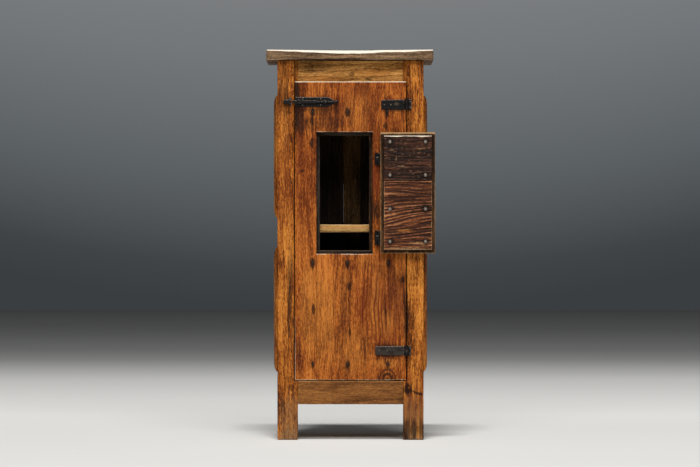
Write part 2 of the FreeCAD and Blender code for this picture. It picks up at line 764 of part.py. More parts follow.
def make_bolt():
    """Make the plate, its two guides, the bar, and the keeper, and return their nails."""
    plate_start = bolt_plate_inset - door_half
    plate_end = plate_start + bolt_plate_length
    tip_x = plate_end + bolt_plate_point
    plate_y = front_y - bolt_plate_thickness
    half = bolt_plate_height / 2
    point = bolt_plate_point_height / 2
    outline = [
        Vector(plate_start, plate_y, bolt_z - half),
        Vector(plate_end, plate_y, bolt_z - half),
        Vector(tip_x, plate_y, bolt_z - point),
        Vector(tip_x, plate_y, bolt_z + point),
        Vector(plate_end, plate_y, bolt_z + half),
        Vector(plate_start, plate_y, bolt_z + half),
    ]
    plate = slab(outline, along_y * bolt_plate_thickness)
    first = plate_start + guide_inset
    second = first + guide_spacing
    pieces["bolt_guides"] = Part.makeCompound(
        [
            bridge((first, first + guide_width), bolt_head_height, guide_wall, plate_y),
            bridge((second, second + guide_width), bolt_tail_height, guide_wall, plate_y),
        ]
    )
    bar_start = -door_half - bolt_tip_reach
    bar_y = (bolt_front_y, bolt_back_y)
    head_end = bar_start + bolt_head_length
    tail_end = head_end + bolt_tail_length
    head_half = bolt_head_height / 2
    tail_half = bolt_tail_height / 2
    head = block((bar_start, head_end), bar_y, (bolt_z - head_half, bolt_z + head_half))
    tail = block((head_end, tail_end), bar_y, (bolt_z - tail_half, bolt_z + tail_half))
    bead = Part.makeSphere(bolt_bead_radius, Vector(tail_end, bolt_back_y - bolt_bead_radius, bolt_z))
    pieces["bolt_bar"] = head.fuse([tail, bead]).removeSplitter()
    plate_nails = []
    for x in (first + guide_width + guide_inset, second - guide_inset):
        for z in (bolt_z - half + iron_nail_head_radius * 2, bolt_z + half - iron_nail_head_radius * 2):
            plate_nails.append(iron_nail(Vector(x, plate_y, z), along_y))
    pieces["bolt_plate"] = plate
    loop_end = bar_start - keeper_offset
    loop_start = loop_end - keeper_loop_width
    socket_start = loop_start - keeper_socket_length
    loop_ends = (loop_start, loop_end)
    loop = bridge(loop_ends, bolt_head_height, keeper_wall, front_y)
    socket = bridge((socket_start, loop_start), bolt_head_height, keeper_wall, front_y)
    half_loop = keeper_loop_height / 2
    foot_y = (front_y - keeper_foot_thickness, front_y)
    feet = block(loop_ends, foot_y, (bolt_z - half_loop, bolt_z + half_loop))
    half_stop = bolt_head_height / 2 + bolt_clearance + keeper_wall
    stop_y = (bolt_front_y - bolt_clearance - keeper_wall, front_y)
    stop_z = (bolt_z - half_stop, bolt_z + half_stop)
    stop = block((socket_start - keeper_wall, socket_start), stop_y, stop_z)
    pieces["bolt_keeper"] = loop.fuse([socket, feet, stop]).removeSplitter()
    nail_offset = half_loop - iron_nail_head_radius
    keeper_nails = [
        iron_nail(Vector(sum(loop_ends) / 2, front_y - keeper_foot_thickness, z), along_y)
        for z in (bolt_z - nail_offset, bolt_z + nail_offset)
    ]
    return plate_nails, keeper_nails


def make_all():
    """Make every piece in order, and cut the nail holes of the door and of its ironwork."""
    make_frame()
    back_centres = make_back()
    make_top()
    cleat_y_ends, cleat_heights = make_inside()
    make_carcase_nails(back_centres, cleat_y_ends, cleat_heights)
    door_nails = make_door()
    hinge_sizes = (
        ("upper", door_top - upper_hinge_drop, upper_strap_height, upper_strap_length, upper_leaf_length),
        ("lower", door_bottom + lower_hinge_rise, lower_strap_height, lower_strap_length, lower_leaf_length),
    )
    door_pins = []
    door_iron_nails = []
    post_iron_nails = []
    for sizes in hinge_sizes:
        pin, strap_nails, leaf_nails = make_door_hinge(*sizes)
        door_pins.append(pin)
        door_iron_nails += strap_nails
        post_iron_nails += leaf_nails
    door_leaves = []
    hatch_leaves = []
    hatch_pins = []
    hatch_hinge_nails = []
    for middle_z, height in (
        (opening_top - upper_hatch_leaf_drop, upper_hatch_leaf_height),
        (opening_bottom + lower_hatch_leaf_rise, lower_hatch_leaf_height),
    ):
        parts = make_hatch_hinge(middle_z - height / 2, height)
        door_leaves.append(parts[0])
        hatch_leaves.append(parts[1])
        hatch_pins.append(parts[2])
        door_iron_nails += parts[3]
        hatch_hinge_nails += parts[4]
    pieces["hatch_door_leaves"] = Part.makeCompound(door_leaves).cut(door_iron_nails)
    pieces["hatch_leaves"] = Part.makeCompound(hatch_leaves).cut(hatch_hinge_nails)
    pieces["hatch_hinge_pins"] = Part.makeCompound(hatch_pins)
    pieces["door_hinge_pins"] = Part.makeCompound(door_pins)
    make_hatch(hatch_hinge_nails)
    plate_nails, keeper_nails = make_bolt()
    door_iron_nails += plate_nails
    post_iron_nails += keeper_nails
    planks = ("door_left_plank", "door_middle_plank", "door_right_plank")
    ledges = ("door_upper_ledge", "door_middle_ledge", "door_lower_ledge")
    cut_from(planks + ledges, door_nails)
    cut_from(planks + ("upper_strap", "lower_strap", "bolt_plate"), door_iron_nails)
    cut_from(
        ("front_left_post", "front_right_post", "upper_post_leaf", "lower_post_leaf", "bolt_keeper"),
        post_iron_nails,
    )
    pieces["door_nails"] = Part.makeCompound(door_nails)
    pieces["door_iron_nails"] = Part.makeCompound(door_iron_nails)
    pieces["post_iron_nails"] = Part.makeCompound(post_iron_nails)


make_all()
os.makedirs("parts", exist_ok=True)
for name, shape in pieces.items():
    shape.exportStep(f"parts/{name}.step")
    print(name, len(shape.Solids), "solid" if shape.isValid() else "invalid")
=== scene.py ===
import json
import logging
import math
import random
from dataclasses import dataclass
from enum import Enum
from functools import cache, partial
from typing import Any, Callable, Iterator, Sequence

import bmesh
import bpy
from bmesh.types import BMEdge, BMesh, BMFace, BMVert
from bpy.types import Material, Node, NodeSocket, NodeTree, Object
from mathutils import Euler, Matrix, Vector, noise
from mathutils.kdtree import KDTree

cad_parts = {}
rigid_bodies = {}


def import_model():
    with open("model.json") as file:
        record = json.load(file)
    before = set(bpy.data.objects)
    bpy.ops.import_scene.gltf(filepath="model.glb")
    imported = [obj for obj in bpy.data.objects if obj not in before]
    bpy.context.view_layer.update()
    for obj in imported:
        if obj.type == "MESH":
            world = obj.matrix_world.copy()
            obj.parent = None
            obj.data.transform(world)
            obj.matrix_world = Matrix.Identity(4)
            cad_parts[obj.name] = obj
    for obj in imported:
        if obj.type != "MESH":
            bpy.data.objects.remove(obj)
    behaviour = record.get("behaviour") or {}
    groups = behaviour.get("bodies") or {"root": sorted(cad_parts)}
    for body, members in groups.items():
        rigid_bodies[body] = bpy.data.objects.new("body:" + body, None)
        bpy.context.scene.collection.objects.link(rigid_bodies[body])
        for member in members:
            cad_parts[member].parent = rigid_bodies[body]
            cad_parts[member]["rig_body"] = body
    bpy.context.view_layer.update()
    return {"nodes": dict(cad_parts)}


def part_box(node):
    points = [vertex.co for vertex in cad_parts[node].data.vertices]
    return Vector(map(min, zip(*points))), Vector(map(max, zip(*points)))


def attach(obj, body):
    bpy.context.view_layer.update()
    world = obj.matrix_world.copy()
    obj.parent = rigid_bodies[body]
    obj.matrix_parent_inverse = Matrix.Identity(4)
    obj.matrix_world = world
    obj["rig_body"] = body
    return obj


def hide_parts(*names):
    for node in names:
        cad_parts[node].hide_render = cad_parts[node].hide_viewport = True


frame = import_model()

# Names for types that come back
Add = Callable[..., NodeSocket]
Inputs = dict[str | int, Any] | Sequence[Any]
Pieces = Iterator[Object]
Point = tuple[float, float, float]
PaleAt = Callable[[Vector], float]
Settle = Callable[[Vector], Vector]
Shades = tuple[tuple[float, str], ...]

log = logging.getLogger("cupboard")

MM = 0.001
MERGE_MM = 0.02  # corners of a solid's triangles this near are one
ON_SIDE_MM = 0.1  # an edge this near a side of its piece's box lies in that side
CLOSED_MM = 1.5  # how near a joint of two planks arrises stay sharp
STEP_MM = 3.0  # spacing of the points that stand for an arris
FLAT_ANGLE = math.radians(0.5)  # faces that turn less than this are one
ARRIS_ANGLE = math.radians(50)  # an edge that turns more than this may be an arris
SHARP_ANGLE = math.radians(38)  # an edge that turns more than this is shaded as a sharp one

# Sizes of the patterns; real fibres, pores and scale are finer and are drawn this coarse to show
WAVE_PERIOD = 2 * math.pi / 20  # Blender's wave texture turns once in this length at a scale of 1
RAGGED_MM = 7.7  # how finely the borders of stains are broken up
RAGGED_REACH = (8 * MM, 0.0, 12 * MM)  # how far they stray across and along the grain of an upright board
THROUGH = 10.0  # half size of a mark from front to back, in metres: it goes right through its board
FRAY = 0.4  # how far streaks push a border in or out, as a share of the mark's half size
KNOT_RINGS = 13.0  # turn of the rings between a knot's middle and its border, in radians
FLAME_MM = 13.0  # spacing of the wavy lines where the saw ran along the rings
DRIFT_MM = 91.0  # length over which growth rings wander
PATCH_MM = 77.0  # lighter and darker places as wide as a hand
FLECK_MM = 4.35  # dirt in the pores
CHECK_MM = 22.2  # spacing of drying checks
SCALE_MM = 2.4  # fire scale on iron
SHADE_PLACES = (0.0, 0.3, 0.5, 0.72, 1.0)  # tones at which a wood has its five shades
BREAK_UP = -0.8  # how much the grain eats into a rubbed arris

# Ways that arrises face: UP is forwards and up, and so on; UPWARD also has both sides
UP, DOWN, LEFT, RIGHT = (0, -1, 1), (0, -1, -1), (-1, -1, 0), (1, -1, 0)
UPWARD = (UP, (1, 0, 1), (-1, 0, 1))


def clamp(value: float) -> float:
    """Return a value kept between 0 and 1."""
    return min(1.0, max(0.0, value))


def linear(hex_colour: str) -> tuple[float, ...]:
    """Turn an sRGB hex colour into the linear colour that a socket takes.

    Args:
        hex_colour: A hash mark and six hex digits.

    Returns:
        Red, green, blue and a full alpha.
    """
    channels = [int(hex_colour[start:start + 2], 16) / 255 for start in (1, 3, 5)]
    return (*[c / 12.92 if c <= 0.04045 else ((c + 0.055) / 1.055) ** 2.4 for c in channels], 1.0)


def feed(node: Node, inputs: Inputs) -> None:
    """Link or set inputs of a node.

    Args:
        node: The node.
        inputs: Sockets to link from, or plain values, in order or by input name or number.
    """
    for key, value in inputs.items() if isinstance(inputs, dict) else enumerate(inputs):
        if isinstance(value, NodeSocket):
            node.id_data.links.new(value, node.inputs[key])
        else:
            node.inputs[key].default_value = value


def put(
    tree: NodeTree, kind: str, inputs: Inputs = (), ramp: Shades = (), out: str | int = 0, **settings: Any
) -> NodeSocket:
    """Add one node to a tree, with its settings, its values and its links.

    Args:
        tree: The node tree.
        kind: The node's type, without the words that every shader node's type starts with.
        inputs: What feeds it.
        ramp: Places and colours, for a node that has a colour ramp.
        out: The output to hand back.
        **settings: The node's own properties.

    Returns:
        The chosen output socket.
    """
    node = tree.nodes.new(f"ShaderNode{kind}")
    for name, value in settings.items():
        setattr(node, name, value)
    if ramp:
        stops = node.color_ramp.elements
        for stop, (place, colour) in ((stops[0], ramp[0]), (stops[-1], ramp[-1])):
            stop.position, stop.color = place, linear(colour)
        for place, colour in ramp[1:-1]:
            stops.new(place).color = linear(colour)
    feed(node, inputs)
    return node.outputs[out]


def start(name: str) -> tuple[Material, Add, NodeSocket]:
    """Start a material.

    Args:
        name: What it is called.

    Returns:
        The material, what adds a node to it, and its object coordinates.
    """
    made = bpy.data.materials.new(name)
    made.use_nodes = True
    add = partial(put, made.node_tree)
    return made, add, add("TexCoord", out="Object")


@cache
def box_of(node: str) -> tuple[Vector, Vector]:
    """Return the lowest and highest corner of a solid, worked out once."""
    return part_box(node)


class Grain(Enum):
    """The way the fibres of a board run, as the turn that brings them onto Z."""

    UPRIGHT = (0.0, 0.0, 0.0)
    ACROSS = (0.0, -math.pi / 2, 0.0)
    BACKWARD = (math.pi / 2, 0.0, 0.0)


class Stain(Enum):
    """What left a mark on the wood, as the colour that it left, in the order in which they are laid; some
    marks paint shade and highlight instead.
    """

    RED = "#6d2c10"
    # Golden wood, and also a painted highlight along the top of the shelf's front edge
    GOLD = "#c47c34"
    SOIL = "#7a6a52"
    # Soot, and also painted shade under the top, at the shelf's foot and round the straps and the bolt
    SMOKE_AND_SHADE = "#27140a"
    FLAME = "#56200a"
    KNOT = "#33170a"
    IRON = "#190d07"
    BARE = "#a98158"


@dataclass(frozen=True)
class Mark:
    """One stain, knot, rubbed place, painted shade or painted highlight on a front face, in millimetres.

    Attributes:
        stain: What left it, or the painted shade or highlight that it stands for.
        x: Its middle across the cupboard.
        z: Its middle above the floor.
        half_width: How far it reaches to each side.
        half_height: How far it reaches up and down.
        depth: How much of the wood's own colour it hides.
    """

    stain: Stain
    x: float
    z: float
    half_width: float
    half_height: float
    depth: float


def marks_of(rows: dict[Stain, Sequence[tuple[float, ...]]]) -> list[Mark]:
    """Return the marks whose sizes stand in rows, in the order of Mark, for each stain."""
    return [Mark(stain, *row) for stain, sizes in rows.items() for row in sizes]


@dataclass(frozen=True)
class Cut:
    """How one board was sawn from its log.

    Attributes:
        grain: The way its fibres run.
        pith_mm: Where the middle of the log lay, across the board and behind its middle.
        lean: How far the log leaned off the board's length, in radians.
    """

    grain: Grain = Grain.UPRIGHT
    pith_mm: tuple[float, float] = (30.0, 85.0)
    lean: tuple[float, float] = (0.015, 0.02)

    def turn(self) -> Euler:
        """Return the turn that brings the log's length onto Z."""
        return (Euler((*self.lean, 0.0)).to_matrix() @ Euler(self.grain.value).to_matrix()).to_euler("XYZ")


def lay_marks(
    add: Add,
    place: NodeSocket,
    colour: NodeSocket,
    streaks: NodeSocket,
    tone: NodeSocket,
    marks: Sequence[Mark],
) -> NodeSocket:
    """Lay marks over a colour, stains and painted shade alike, with borders that run out along the streaks
    and the grain showing through.

    Args:
        add: What adds a node.
        place: The piece's object coordinates.
        colour: The colour below.
        streaks: The pattern that breaks the borders up.
        tone: How dark the grain is, which dark stains deepen and pale ones leave out.
        marks: The marks to lay.

    Returns:
        The colour with its marks.
    """
    if not marks:
        return colour
    ragged = add("TexNoise", {"Vector": place, "Scale": 1 / (RAGGED_MM * MM), "Detail": 3.0}, out="Color")
    ragged = add("VectorMath", (ragged, (0.5, 0.5, 0.5)), operation="SUBTRACT")
    ragged = add("VectorMath", (ragged, RAGGED_REACH, place), operation="MULTIPLY_ADD")
    fray = add("MapRange", (streaks, 0.3, 0.7, FRAY, -FRAY))
    for stain in Stain:
        knotty = stain is Stain.KNOT
        total = None
        for mark in (m for m in marks if m.stain is stain):
            middle = (mark.x * MM, 0, mark.z * MM)
            size = (mark.half_width * MM, THROUGH, mark.half_height * MM)
            spot = {"Vector": ragged, "Location": middle, "Scale": size}
            near = add("Mapping", spot, vector_type="TEXTURE")
            far = add("VectorMath", (near,), out="Value", operation="LENGTH")
            frayed = far if knotty else add("Math", (far, fray), operation="ADD")
            # A stain fades from just past its border to well inside, and a knot has a crisp border
            ends = (1.08, 0.9 if knotty else 0.4, 0.0, mark.depth)
            mask = add("MapRange", (frayed, *ends), interpolation_type="SMOOTHSTEP")
            if knotty:
                ring = add("Math", (far, KNOT_RINGS), operation="MULTIPLY")
                ring = add("Math", (ring,), operation="COSINE")
                ring = add("MapRange", (ring, -1.0, 0.6, 0.3, 1.0))
                mask = add("Math", (mask, ring), operation="MULTIPLY")
            total = add("Math", (total, mask), operation="MAXIMUM") if total else mask
        if not total:
            continue
        if stain is Stain.FLAME:
            drawn = add("VectorMath", (place, (1, 0, 0.3)), operation="MULTIPLY")
            wave = {"Vector": drawn, "Scale": WAVE_PERIOD / (FLAME_MM * MM), "Distortion": 7.0}
            wave |= {"Detail": 1.0, "Detail Scale": 0.8}
            lines = add("TexWave", wave, out="Fac", bands_direction="X")
            lines = add("MapRange", (lines, 0.5, 0.85))
            total = add("Math", (total, lines), operation="MULTIPLY")
        elif stain not in (Stain.IRON, Stain.KNOT):
            # Pale stains sit on the light grain, dark ones on the dark
            ends = (1.25, 0.35) if stain in (Stain.GOLD, Stain.SOIL, Stain.BARE) else (0.65, 1.25)
            keep = add("MapRange", (tone, 0.2, 0.8, *ends))
            total = add("Math", (total, keep), operation="MULTIPLY", use_clamp=True)
        colour = add("Mix", {0: total, 6: colour, 7: linear(stain.value)}, out=2, data_type="RGBA")
    return colour


@dataclass(frozen=True)
class Pine:
    """Old pine: a palette from bright fibres to resin streaks, with flecks, checks, and pale arrises of
    rubbed wear and painted highlight.

    Attributes:
        name: What the finish is called.
        shades: Its colours: the brightest fibres, the spring wood, what the eye takes for the whole, the
            summer wood, and the resin and dirt in the grain.
        rubbed: Colour of pale arrises: where hands have worn them, and a painted highlight where light from
            above catches them.
        ring_mm: Spacing of the growth rings, drawn wide enough to show.
        ring_depth: How dark their summer wood is.
        fibre_mm: Width of the fibre streaks, drawn coarse enough to show.
        contrast: How far the fibres stray from the middle colour.
        patchy: How much lighter and darker places as wide as a hand differ.
        fleck: How strongly the short flecks show.
        fleck_colour: Their colour: dark for dirt in the pores, light for scratches in soot.
        pale_depth: How strongly the pale arrises show.
        relief_depth: How strongly raised grain is rubbed light and its hollows are dark.
        rough: Least and most roughness.
        bump_mm: Height of the grain that the eye reads as texture.
        shine: Specular level: 0.5 is fresh varnish, and old dry wax throws back far less.
    """

    name: str
    shades: tuple[str, str, str, str, str]
    rubbed: str
    ring_mm: float = 13.0
    ring_depth: float = 0.22
    fibre_mm: float = 2.7
    contrast: float = 1.0
    patchy: float = 1.5
    fleck: float = 0.68
    fleck_colour: str = "#220f06"
    pale_depth: float = 0.8
    relief_depth: float = 0.0
    rough: tuple[float, float] = (0.42, 0.64)
    bump_mm: float = 0.6
    shine: float = 0.09

    def material(self, key: str, centre: Vector, cut: Cut, marks: Sequence[Mark] = ()) -> Material:
        """Make the material of one board.

        Args:
            key: The board's name.
            centre: The middle of the board.
            cut: How the board was sawn.
            marks: Stains, knots, painted shade and painted highlights on its front.

        Returns:
            The material.
        """
        made, add, place = start(f"{self.name}_{key}")
        turn = cut.turn()
        shift = -(turn.to_matrix() @ centre) - Vector((*cut.pith_mm, 0)) * MM
        in_log = add("Mapping", {"Vector": place, "Location": shift, "Rotation": turn})
        tone, fibre, patch = self._tone(add, in_log)
        colour = add("ValToRGB", (tone,), ramp=tuple(zip(SHADE_PLACES, self.shades)))
        fleck = self._flecks(add, in_log, patch)
        colour = add("Mix", {0: fleck, 6: colour, 7: linear(self.fleck_colour)}, out=2, data_type="RGBA")
        colour = lay_marks(add, place, colour, fibre, tone, marks)
        # Pale arrises and edges: rubbed wear, and a painted highlight where light from above catches them
        arris = add("Attribute", out="Fac", attribute_name="arris")
        broken = add("Math", (fibre, BREAK_UP, arris), operation="MULTIPLY_ADD")
        rub = add("MapRange", (broken, 0.0, 0.4, 0.0, self.pale_depth))
        colour = add("Mix", {0: rub, 6: colour, 7: linear(self.rubbed)}, out=2, data_type="RGBA")
        rough = add("MapRange", (fibre, 0.35, 0.65, *self.rough))
        height = add("Math", (fleck, 0.8, tone), operation="MULTIPLY_ADD")
        grain = {"Height": height, "Distance": self.bump_mm * MM, "Strength": 0.8}
        look = {"Base Color": colour, "Roughness": rough, "Normal": add("Bump", grain, invert=True)}
        feed(made.node_tree.nodes["Principled BSDF"], look | {"Specular IOR Level": self.shine})
        return made

    def _tone(self, add: Add, in_log: NodeSocket) -> tuple[NodeSocket, NodeSocket, NodeSocket]:
        """Mix rings, fibres and patches into one tone, 0 for the lightest and 1 for the darkest.

        Args:
            add: What adds a node.
            in_log: Coordinates in the log.

        Returns:
            The tone, the fibres and the patches.
        """
        slow, long, brief = (
            add("VectorMath", (in_log, (1, 1, share)), operation="MULTIPLY") for share in (0.3, 0.05, 0.24)
        )
        scale = WAVE_PERIOD / (self.ring_mm * MM)
        wave = {"Vector": slow, "Scale": scale, "Distortion": 7.0, "Detail": 2.0, "Detail Roughness": 0.5}
        wave["Detail Scale"] = 1 / (DRIFT_MM * MM) / scale
        kind = {"wave_type": "RINGS", "rings_direction": "Z", "wave_profile": "SAW"}
        rings = add("MapRange", (add("TexWave", wave, out="Fac", **kind), 0.6, 0.96, 0.0, 1.0))
        streaks = 1 / (self.fibre_mm * MM)
        fine, rough, fibre, patch = (
            add("TexNoise", {"Vector": way, "Scale": often, "Detail": detail, "Roughness": uneven})
            for way, often, detail, uneven in (
                (long, streaks, 3.0, 0.65),
                (brief, streaks, 2.0, 0.6),
                (long, 0.22 * streaks, 3.0, 0.6),
                (slow, 1 / (PATCH_MM * MM), 4.0, 0.55),
            )
        )
        # Each pattern, its share in the tone, and its usual value, which leaves the tone in the middle
        shares = (
            (fine, 1.5, 0.5),
            (rough, 1.25, 0.5),
            (fibre, 0.6, 0.5),
            (patch, self.patchy, 0.5),
            (rings, self.ring_depth, 0.2),
        )
        tone: Any = 0.5 - self.contrast * sum(share * usual for _, share, usual in shares)
        for socket, share, _ in shares:
            tone = add("Math", (socket, share * self.contrast, tone), operation="MULTIPLY_ADD")
        if self.relief_depth:
            stand = add("Attribute", out="Fac", attribute_name="relief")
            hollow = add("MapRange", (stand, 0.95, 0.05, -self.relief_depth, self.relief_depth))
            tone = add("Math", (tone, hollow), operation="ADD")
        return tone, fibre, patch

    def _flecks(self, add: Add, in_log: NodeSocket, patch: NodeSocket) -> NodeSocket:
        """Draw short dark flecks and long drying checks, both more of them in the darker patches.

        Args:
            add: What adds a node.
            in_log: Coordinates in the log.
            patch: The patches.

        Returns:
            Where they show, from 0 to 1.
        """
        short, drawn = (
            add("VectorMath", (in_log, (1, 1, share)), operation="MULTIPLY") for share in (0.32, 0.04)
        )
        tick = add("TexNoise", {"Vector": short, "Scale": 1 / (FLECK_MM * MM), "Detail": 1.0})
        tick = add("MapRange", (tick, 0.61, 0.66, 0.0, 1.0))
        vein = add("TexNoise", {"Vector": drawn, "Scale": 1 / (CHECK_MM * MM), "Detail": 2.0})
        vein = add("Math", (vein, 0.5), operation="SUBTRACT")
        vein = add("Math", (vein,), operation="ABSOLUTE")
        vein = add("MapRange", (vein, 0.012, 0.003, 0.0, 0.35))
        both = add("Math", (tick, vein), operation="MAXIMUM")
        many = add("MapRange", (patch, 0.36, 0.6, 0.2, self.fleck))
        return add("Math", (both, many), operation="MULTIPLY")


@dataclass(frozen=True)
class ForgedIron:
    """Forged iron, blackened at the fire: hammer dents, brown rust in the hollows, and grey edges of rubbed
    metal with a painted glint.

    Attributes:
        name: What the finish is called.
        black: Colour of the fire scale.
        rust: Colour of the rust.
        bare: Colour of the edges: rubbed metal, and a painted glint.
        dent_mm: Size of a hammer dent.
        bump_mm: Depth of the dents and the scale.
        metal: Share of the surface that is metal rather than scale and rust.
    """

    name: str = "forged_iron"
    black: str = "#141210"
    rust: str = "#1f140d"
    bare: str = "#8f8b86"
    dent_mm: float = 8.0
    bump_mm: float = 1.2
    metal: float = 0.7

    def material(self, key: str, marks: Sequence[Mark] = ()) -> Material:
        """Make the material of one piece of ironwork.

        Args:
            key: The piece's name.
            marks: Rusty places.

        Returns:
            The material.
        """
        made, add, place = start(f"{self.name}_{key}")
        dent = add("TexNoise", {"Vector": place, "Scale": 1 / (self.dent_mm * MM), "Detail": 1.5})
        crust = {"Vector": place, "Scale": 1 / (SCALE_MM * MM), "Detail": 4.0, "Roughness": 0.65}
        scale = add("TexNoise", crust)
        eaten = add("MapRange", (dent, 0.48, 0.66, 0.0, 0.75))
        colour = add("Mix", {0: eaten, 6: linear(self.black), 7: linear(self.rust)}, out=2, data_type="RGBA")
        colour = lay_marks(add, place, colour, scale, scale, marks)
        # Grey edges and nail crowns: rubbed metal, and a painted glint
        arris = add("Attribute", out="Fac", attribute_name="arris")
        broken = add("Math", (scale, BREAK_UP, arris), operation="MULTIPLY_ADD")
        bare = add("MapRange", (broken, 0.1, 0.5, 0.0, 0.85))
        colour = add("Mix", {0: bare, 6: colour, 7: linear(self.bare)}, out=2, data_type="RGBA")
        rough = add("MapRange", (scale, 0.35, 0.65, 0.42, 0.65))
        height = add("Math", (scale, 0.25, dent), operation="MULTIPLY_ADD")
        blows = {"Height": height, "Distance": self.bump_mm * MM, "Strength": 0.7}
        look = {"Base Color": colour, "Roughness": rough, "Normal": add("Bump", blows)}
        feed(made.node_tree.nodes["Principled BSDF"], look | {"Metallic": self.metal})
        return made


# Honey wax over brown, in broad lighter and darker stretches
POST_PINE = Pine(
    "waxed_post_pine", ("#cf8739", "#b16b27", "#914e19", "#66340d", "#371603"), "#b98040", patchy=1.8
)
# End grain that has drunk wax, darker than the wood round it
PEG_PINE = Pine("dark_peg_pine", ("#93591f", "#7a4011", "#62300a", "#4a2206", "#2c1203"), "#7a4011")
# Pale straw under a thin wax, with quiet grain, painted lighter still to make up for the shade under the top
RAIL_PINE = Pine(
    "waxed_rail_pine",
    ("#eeb566", "#d29650", "#b27a3b", "#885926", "#4c2c10"), "#d9ae70", contrast=0.8, fleck=0.5,
)
# The same wood, dulled by feet and floor water
LOW_RAIL_PINE = Pine(
    "dim_rail_pine",
    ("#a46e34", "#8b592b", "#744822", "#593517", "#331a09"), "#a87e4c", contrast=0.75, fleck=0.35,
)
# Deep orange wax, rubbed almost white where hands and the frame touch it, and painted almost white along its
# head as a highlight of light from above
DOOR_PINE = Pine(
    "waxed_door_pine",
    ("#c27431", "#a55b20", "#874517", "#662f0d", "#431a05"), "#efdcbf",
    ring_mm=17.0, ring_depth=0.2, fleck=0.6, fleck_colour="#2c1307", pale_depth=0.95,
)
# Grey-brown and dry, worn through to pale wood at the front, where the pale is also a painted highlight of
# light from above
TOP_PINE = Pine(
    "weathered_top_pine",
    ("#967d60", "#7a6147", "#614a35", "#463424", "#2b1e14"), "#e6d8c6",
    contrast=0.7, relief_depth=0.08, pale_depth=1.0, rough=(0.6, 0.8),
)
# Never waxed: sandy and matt
BARE_PINE = Pine(
    "bare_pine",
    ("#c7a066", "#b28a55", "#9c7442", "#7f5a30", "#56391c"), "#c2a274", contrast=0.6, rough=(0.6, 0.8),
)
# Painted shade on the inside of the boards behind the shelf: nearly black, for the dark inside the cupboard
DIM_BACK_PINE = Pine(
    "painted_shade_back_pine", ("#33251a", "#261b12", "#1b120b", "#130c07", "#0b0704"), "#261b12", rough=(0.7, 0.85)
)
# One board among them, painted less dark
PALE_BACK_PINE = Pine(
    "pale_back_pine", ("#634925", "#50391c", "#3e2c15", "#2e200f", "#1c1308"), "#50391c", rough=(0.7, 0.85)
)
# Painted shade round the hatch, on the rim beside the inner boards, with a pale arris
RIM_PINE = Pine(
    "shaded_rim_pine", ("#5c3e21", "#412a16", "#2d1b0c", "#1f1208", "#130a04"), "#a07c55", pale_depth=0.95
)
# Red-brown smoke in the hollows of raised grain, lighter on its ridges
SMOKED_PINE = Pine(
    "smoked_pine",
    ("#b0784c", "#7c482a", "#57301c", "#3c2013", "#20100a"), "#bb9970",
    contrast=0.7, relief_depth=0.34, rough=(0.45, 0.65),
)
# Thick soot with lighter scratches, and a painted highlight along its upper arris
SOOTED_PINE = Pine(
    "sooted_pine",
    ("#5e3522", "#382015", "#251610", "#18100c", "#0f0907"), "#e0d2bc",
    contrast=0.8, fleck=0.6, fleck_colour="#765039", pale_depth=0.95, relief_depth=0.06, rough=(0.42, 0.62),
)
# Grey-black and matt round the opening
STOP_PINE = Pine(
    "sooted_stop_pine", ("#40362c", "#2c241d", "#201a15", "#17120f", "#0e0b09"), "#4c3e30", rough=(0.6, 0.8)
)
# The outside of the back, greyed and never waxed
BACK_PINE = Pine(
    "weathered_back_pine",
    ("#8d7250", "#745b3e", "#5f4a32", "#493826", "#2e2317"), "#8d7250", rough=(0.7, 0.85),
)
# Irons, from black fire scale to grey where they are rubbed or rusted clean, the grey on their edges also a
# painted glint
IRON = ForgedIron()
GREY_IRON = ForgedIron("greyed_iron", black="#3a332e", rust="#33271f", bare="#a39d96")
NAIL_IRON = ForgedIron("rubbed_nail_iron", black="#3d362f", bare="#8a7f73")
BLACK_IRON = ForgedIron("blackened_strap_iron", black="#0c0a09", rust="#170f0a")
STRAP_NAIL_IRON = ForgedIron("blackened_nail_iron", black="#26211d", bare="#6a625a")
SUNK_IRON = ForgedIron("sunk_nail_iron", black="#1a1411", rust="#24160e", bare="#40342c")


@dataclass(frozen=True)
class Relief:
    """Raised grain: hard rings left standing where the soft wood has worn away, in millimetres.

    Attributes:
        spacing: From ridge to ridge.
        depth: How deep the hollows are.
        drift: How far a ridge wanders up and down.
        sharp: How thin the ridges are beside the hollows, 1 for as wide.
        sweep: How steeply the ridges climb to the right at sweep_at.
        sweep_at: The place across and the height at which they climb.
        sweep_reach: How far above and below that height they still climb.
        calm: Share of the ridges' height that is left away from there.
    """

    spacing: float
    depth: float
    drift: float
    sharp: float = 1.0
    sweep: float = 0.0
    sweep_at: tuple[float, float] = (0.0, 0.0)
    sweep_reach: float = 1.0
    calm: float = 1.0

    def stand(self, place: Vector, shift: Vector) -> float:
        """Return how far the grain stands at a place.

        The factors on places say how often the noise turns in a metre.

        Args:
            place: The place on the board.
            shift: The board's own offset in the noise.

        Returns:
            The share of the full height, from 0 in a hollow to 1 on a ridge.
        """
        z = place.z / MM
        near = math.exp(-(((z - self.sweep_at[1]) / self.sweep_reach) ** 2))
        flow = Vector((place.x * 5.0, place.y * 5.0, place.z * 16.0)) + shift
        across = z - self.sweep * near * (place.x / MM - self.sweep_at[0]) + self.drift * noise.noise(flow)
        uneven = 4.2 * noise.noise(Vector((place.x * 8.0, 0.0, across * MM * 55.0)) + shift)
        ridge = (0.5 + 0.5 * math.sin(2 * math.pi * across / self.spacing + uneven)) ** self.sharp
        broken = noise.noise(Vector((place.x * 16.0, 0.0, across * MM * 90.0)) - shift)
        fade = (0.65 + 0.5 * noise.noise(flow * 2.3) + 0.7 * broken) * (self.calm + (1 - self.calm) * near)
        return clamp(0.5 + (ridge - 0.5) * fade * 1.5)


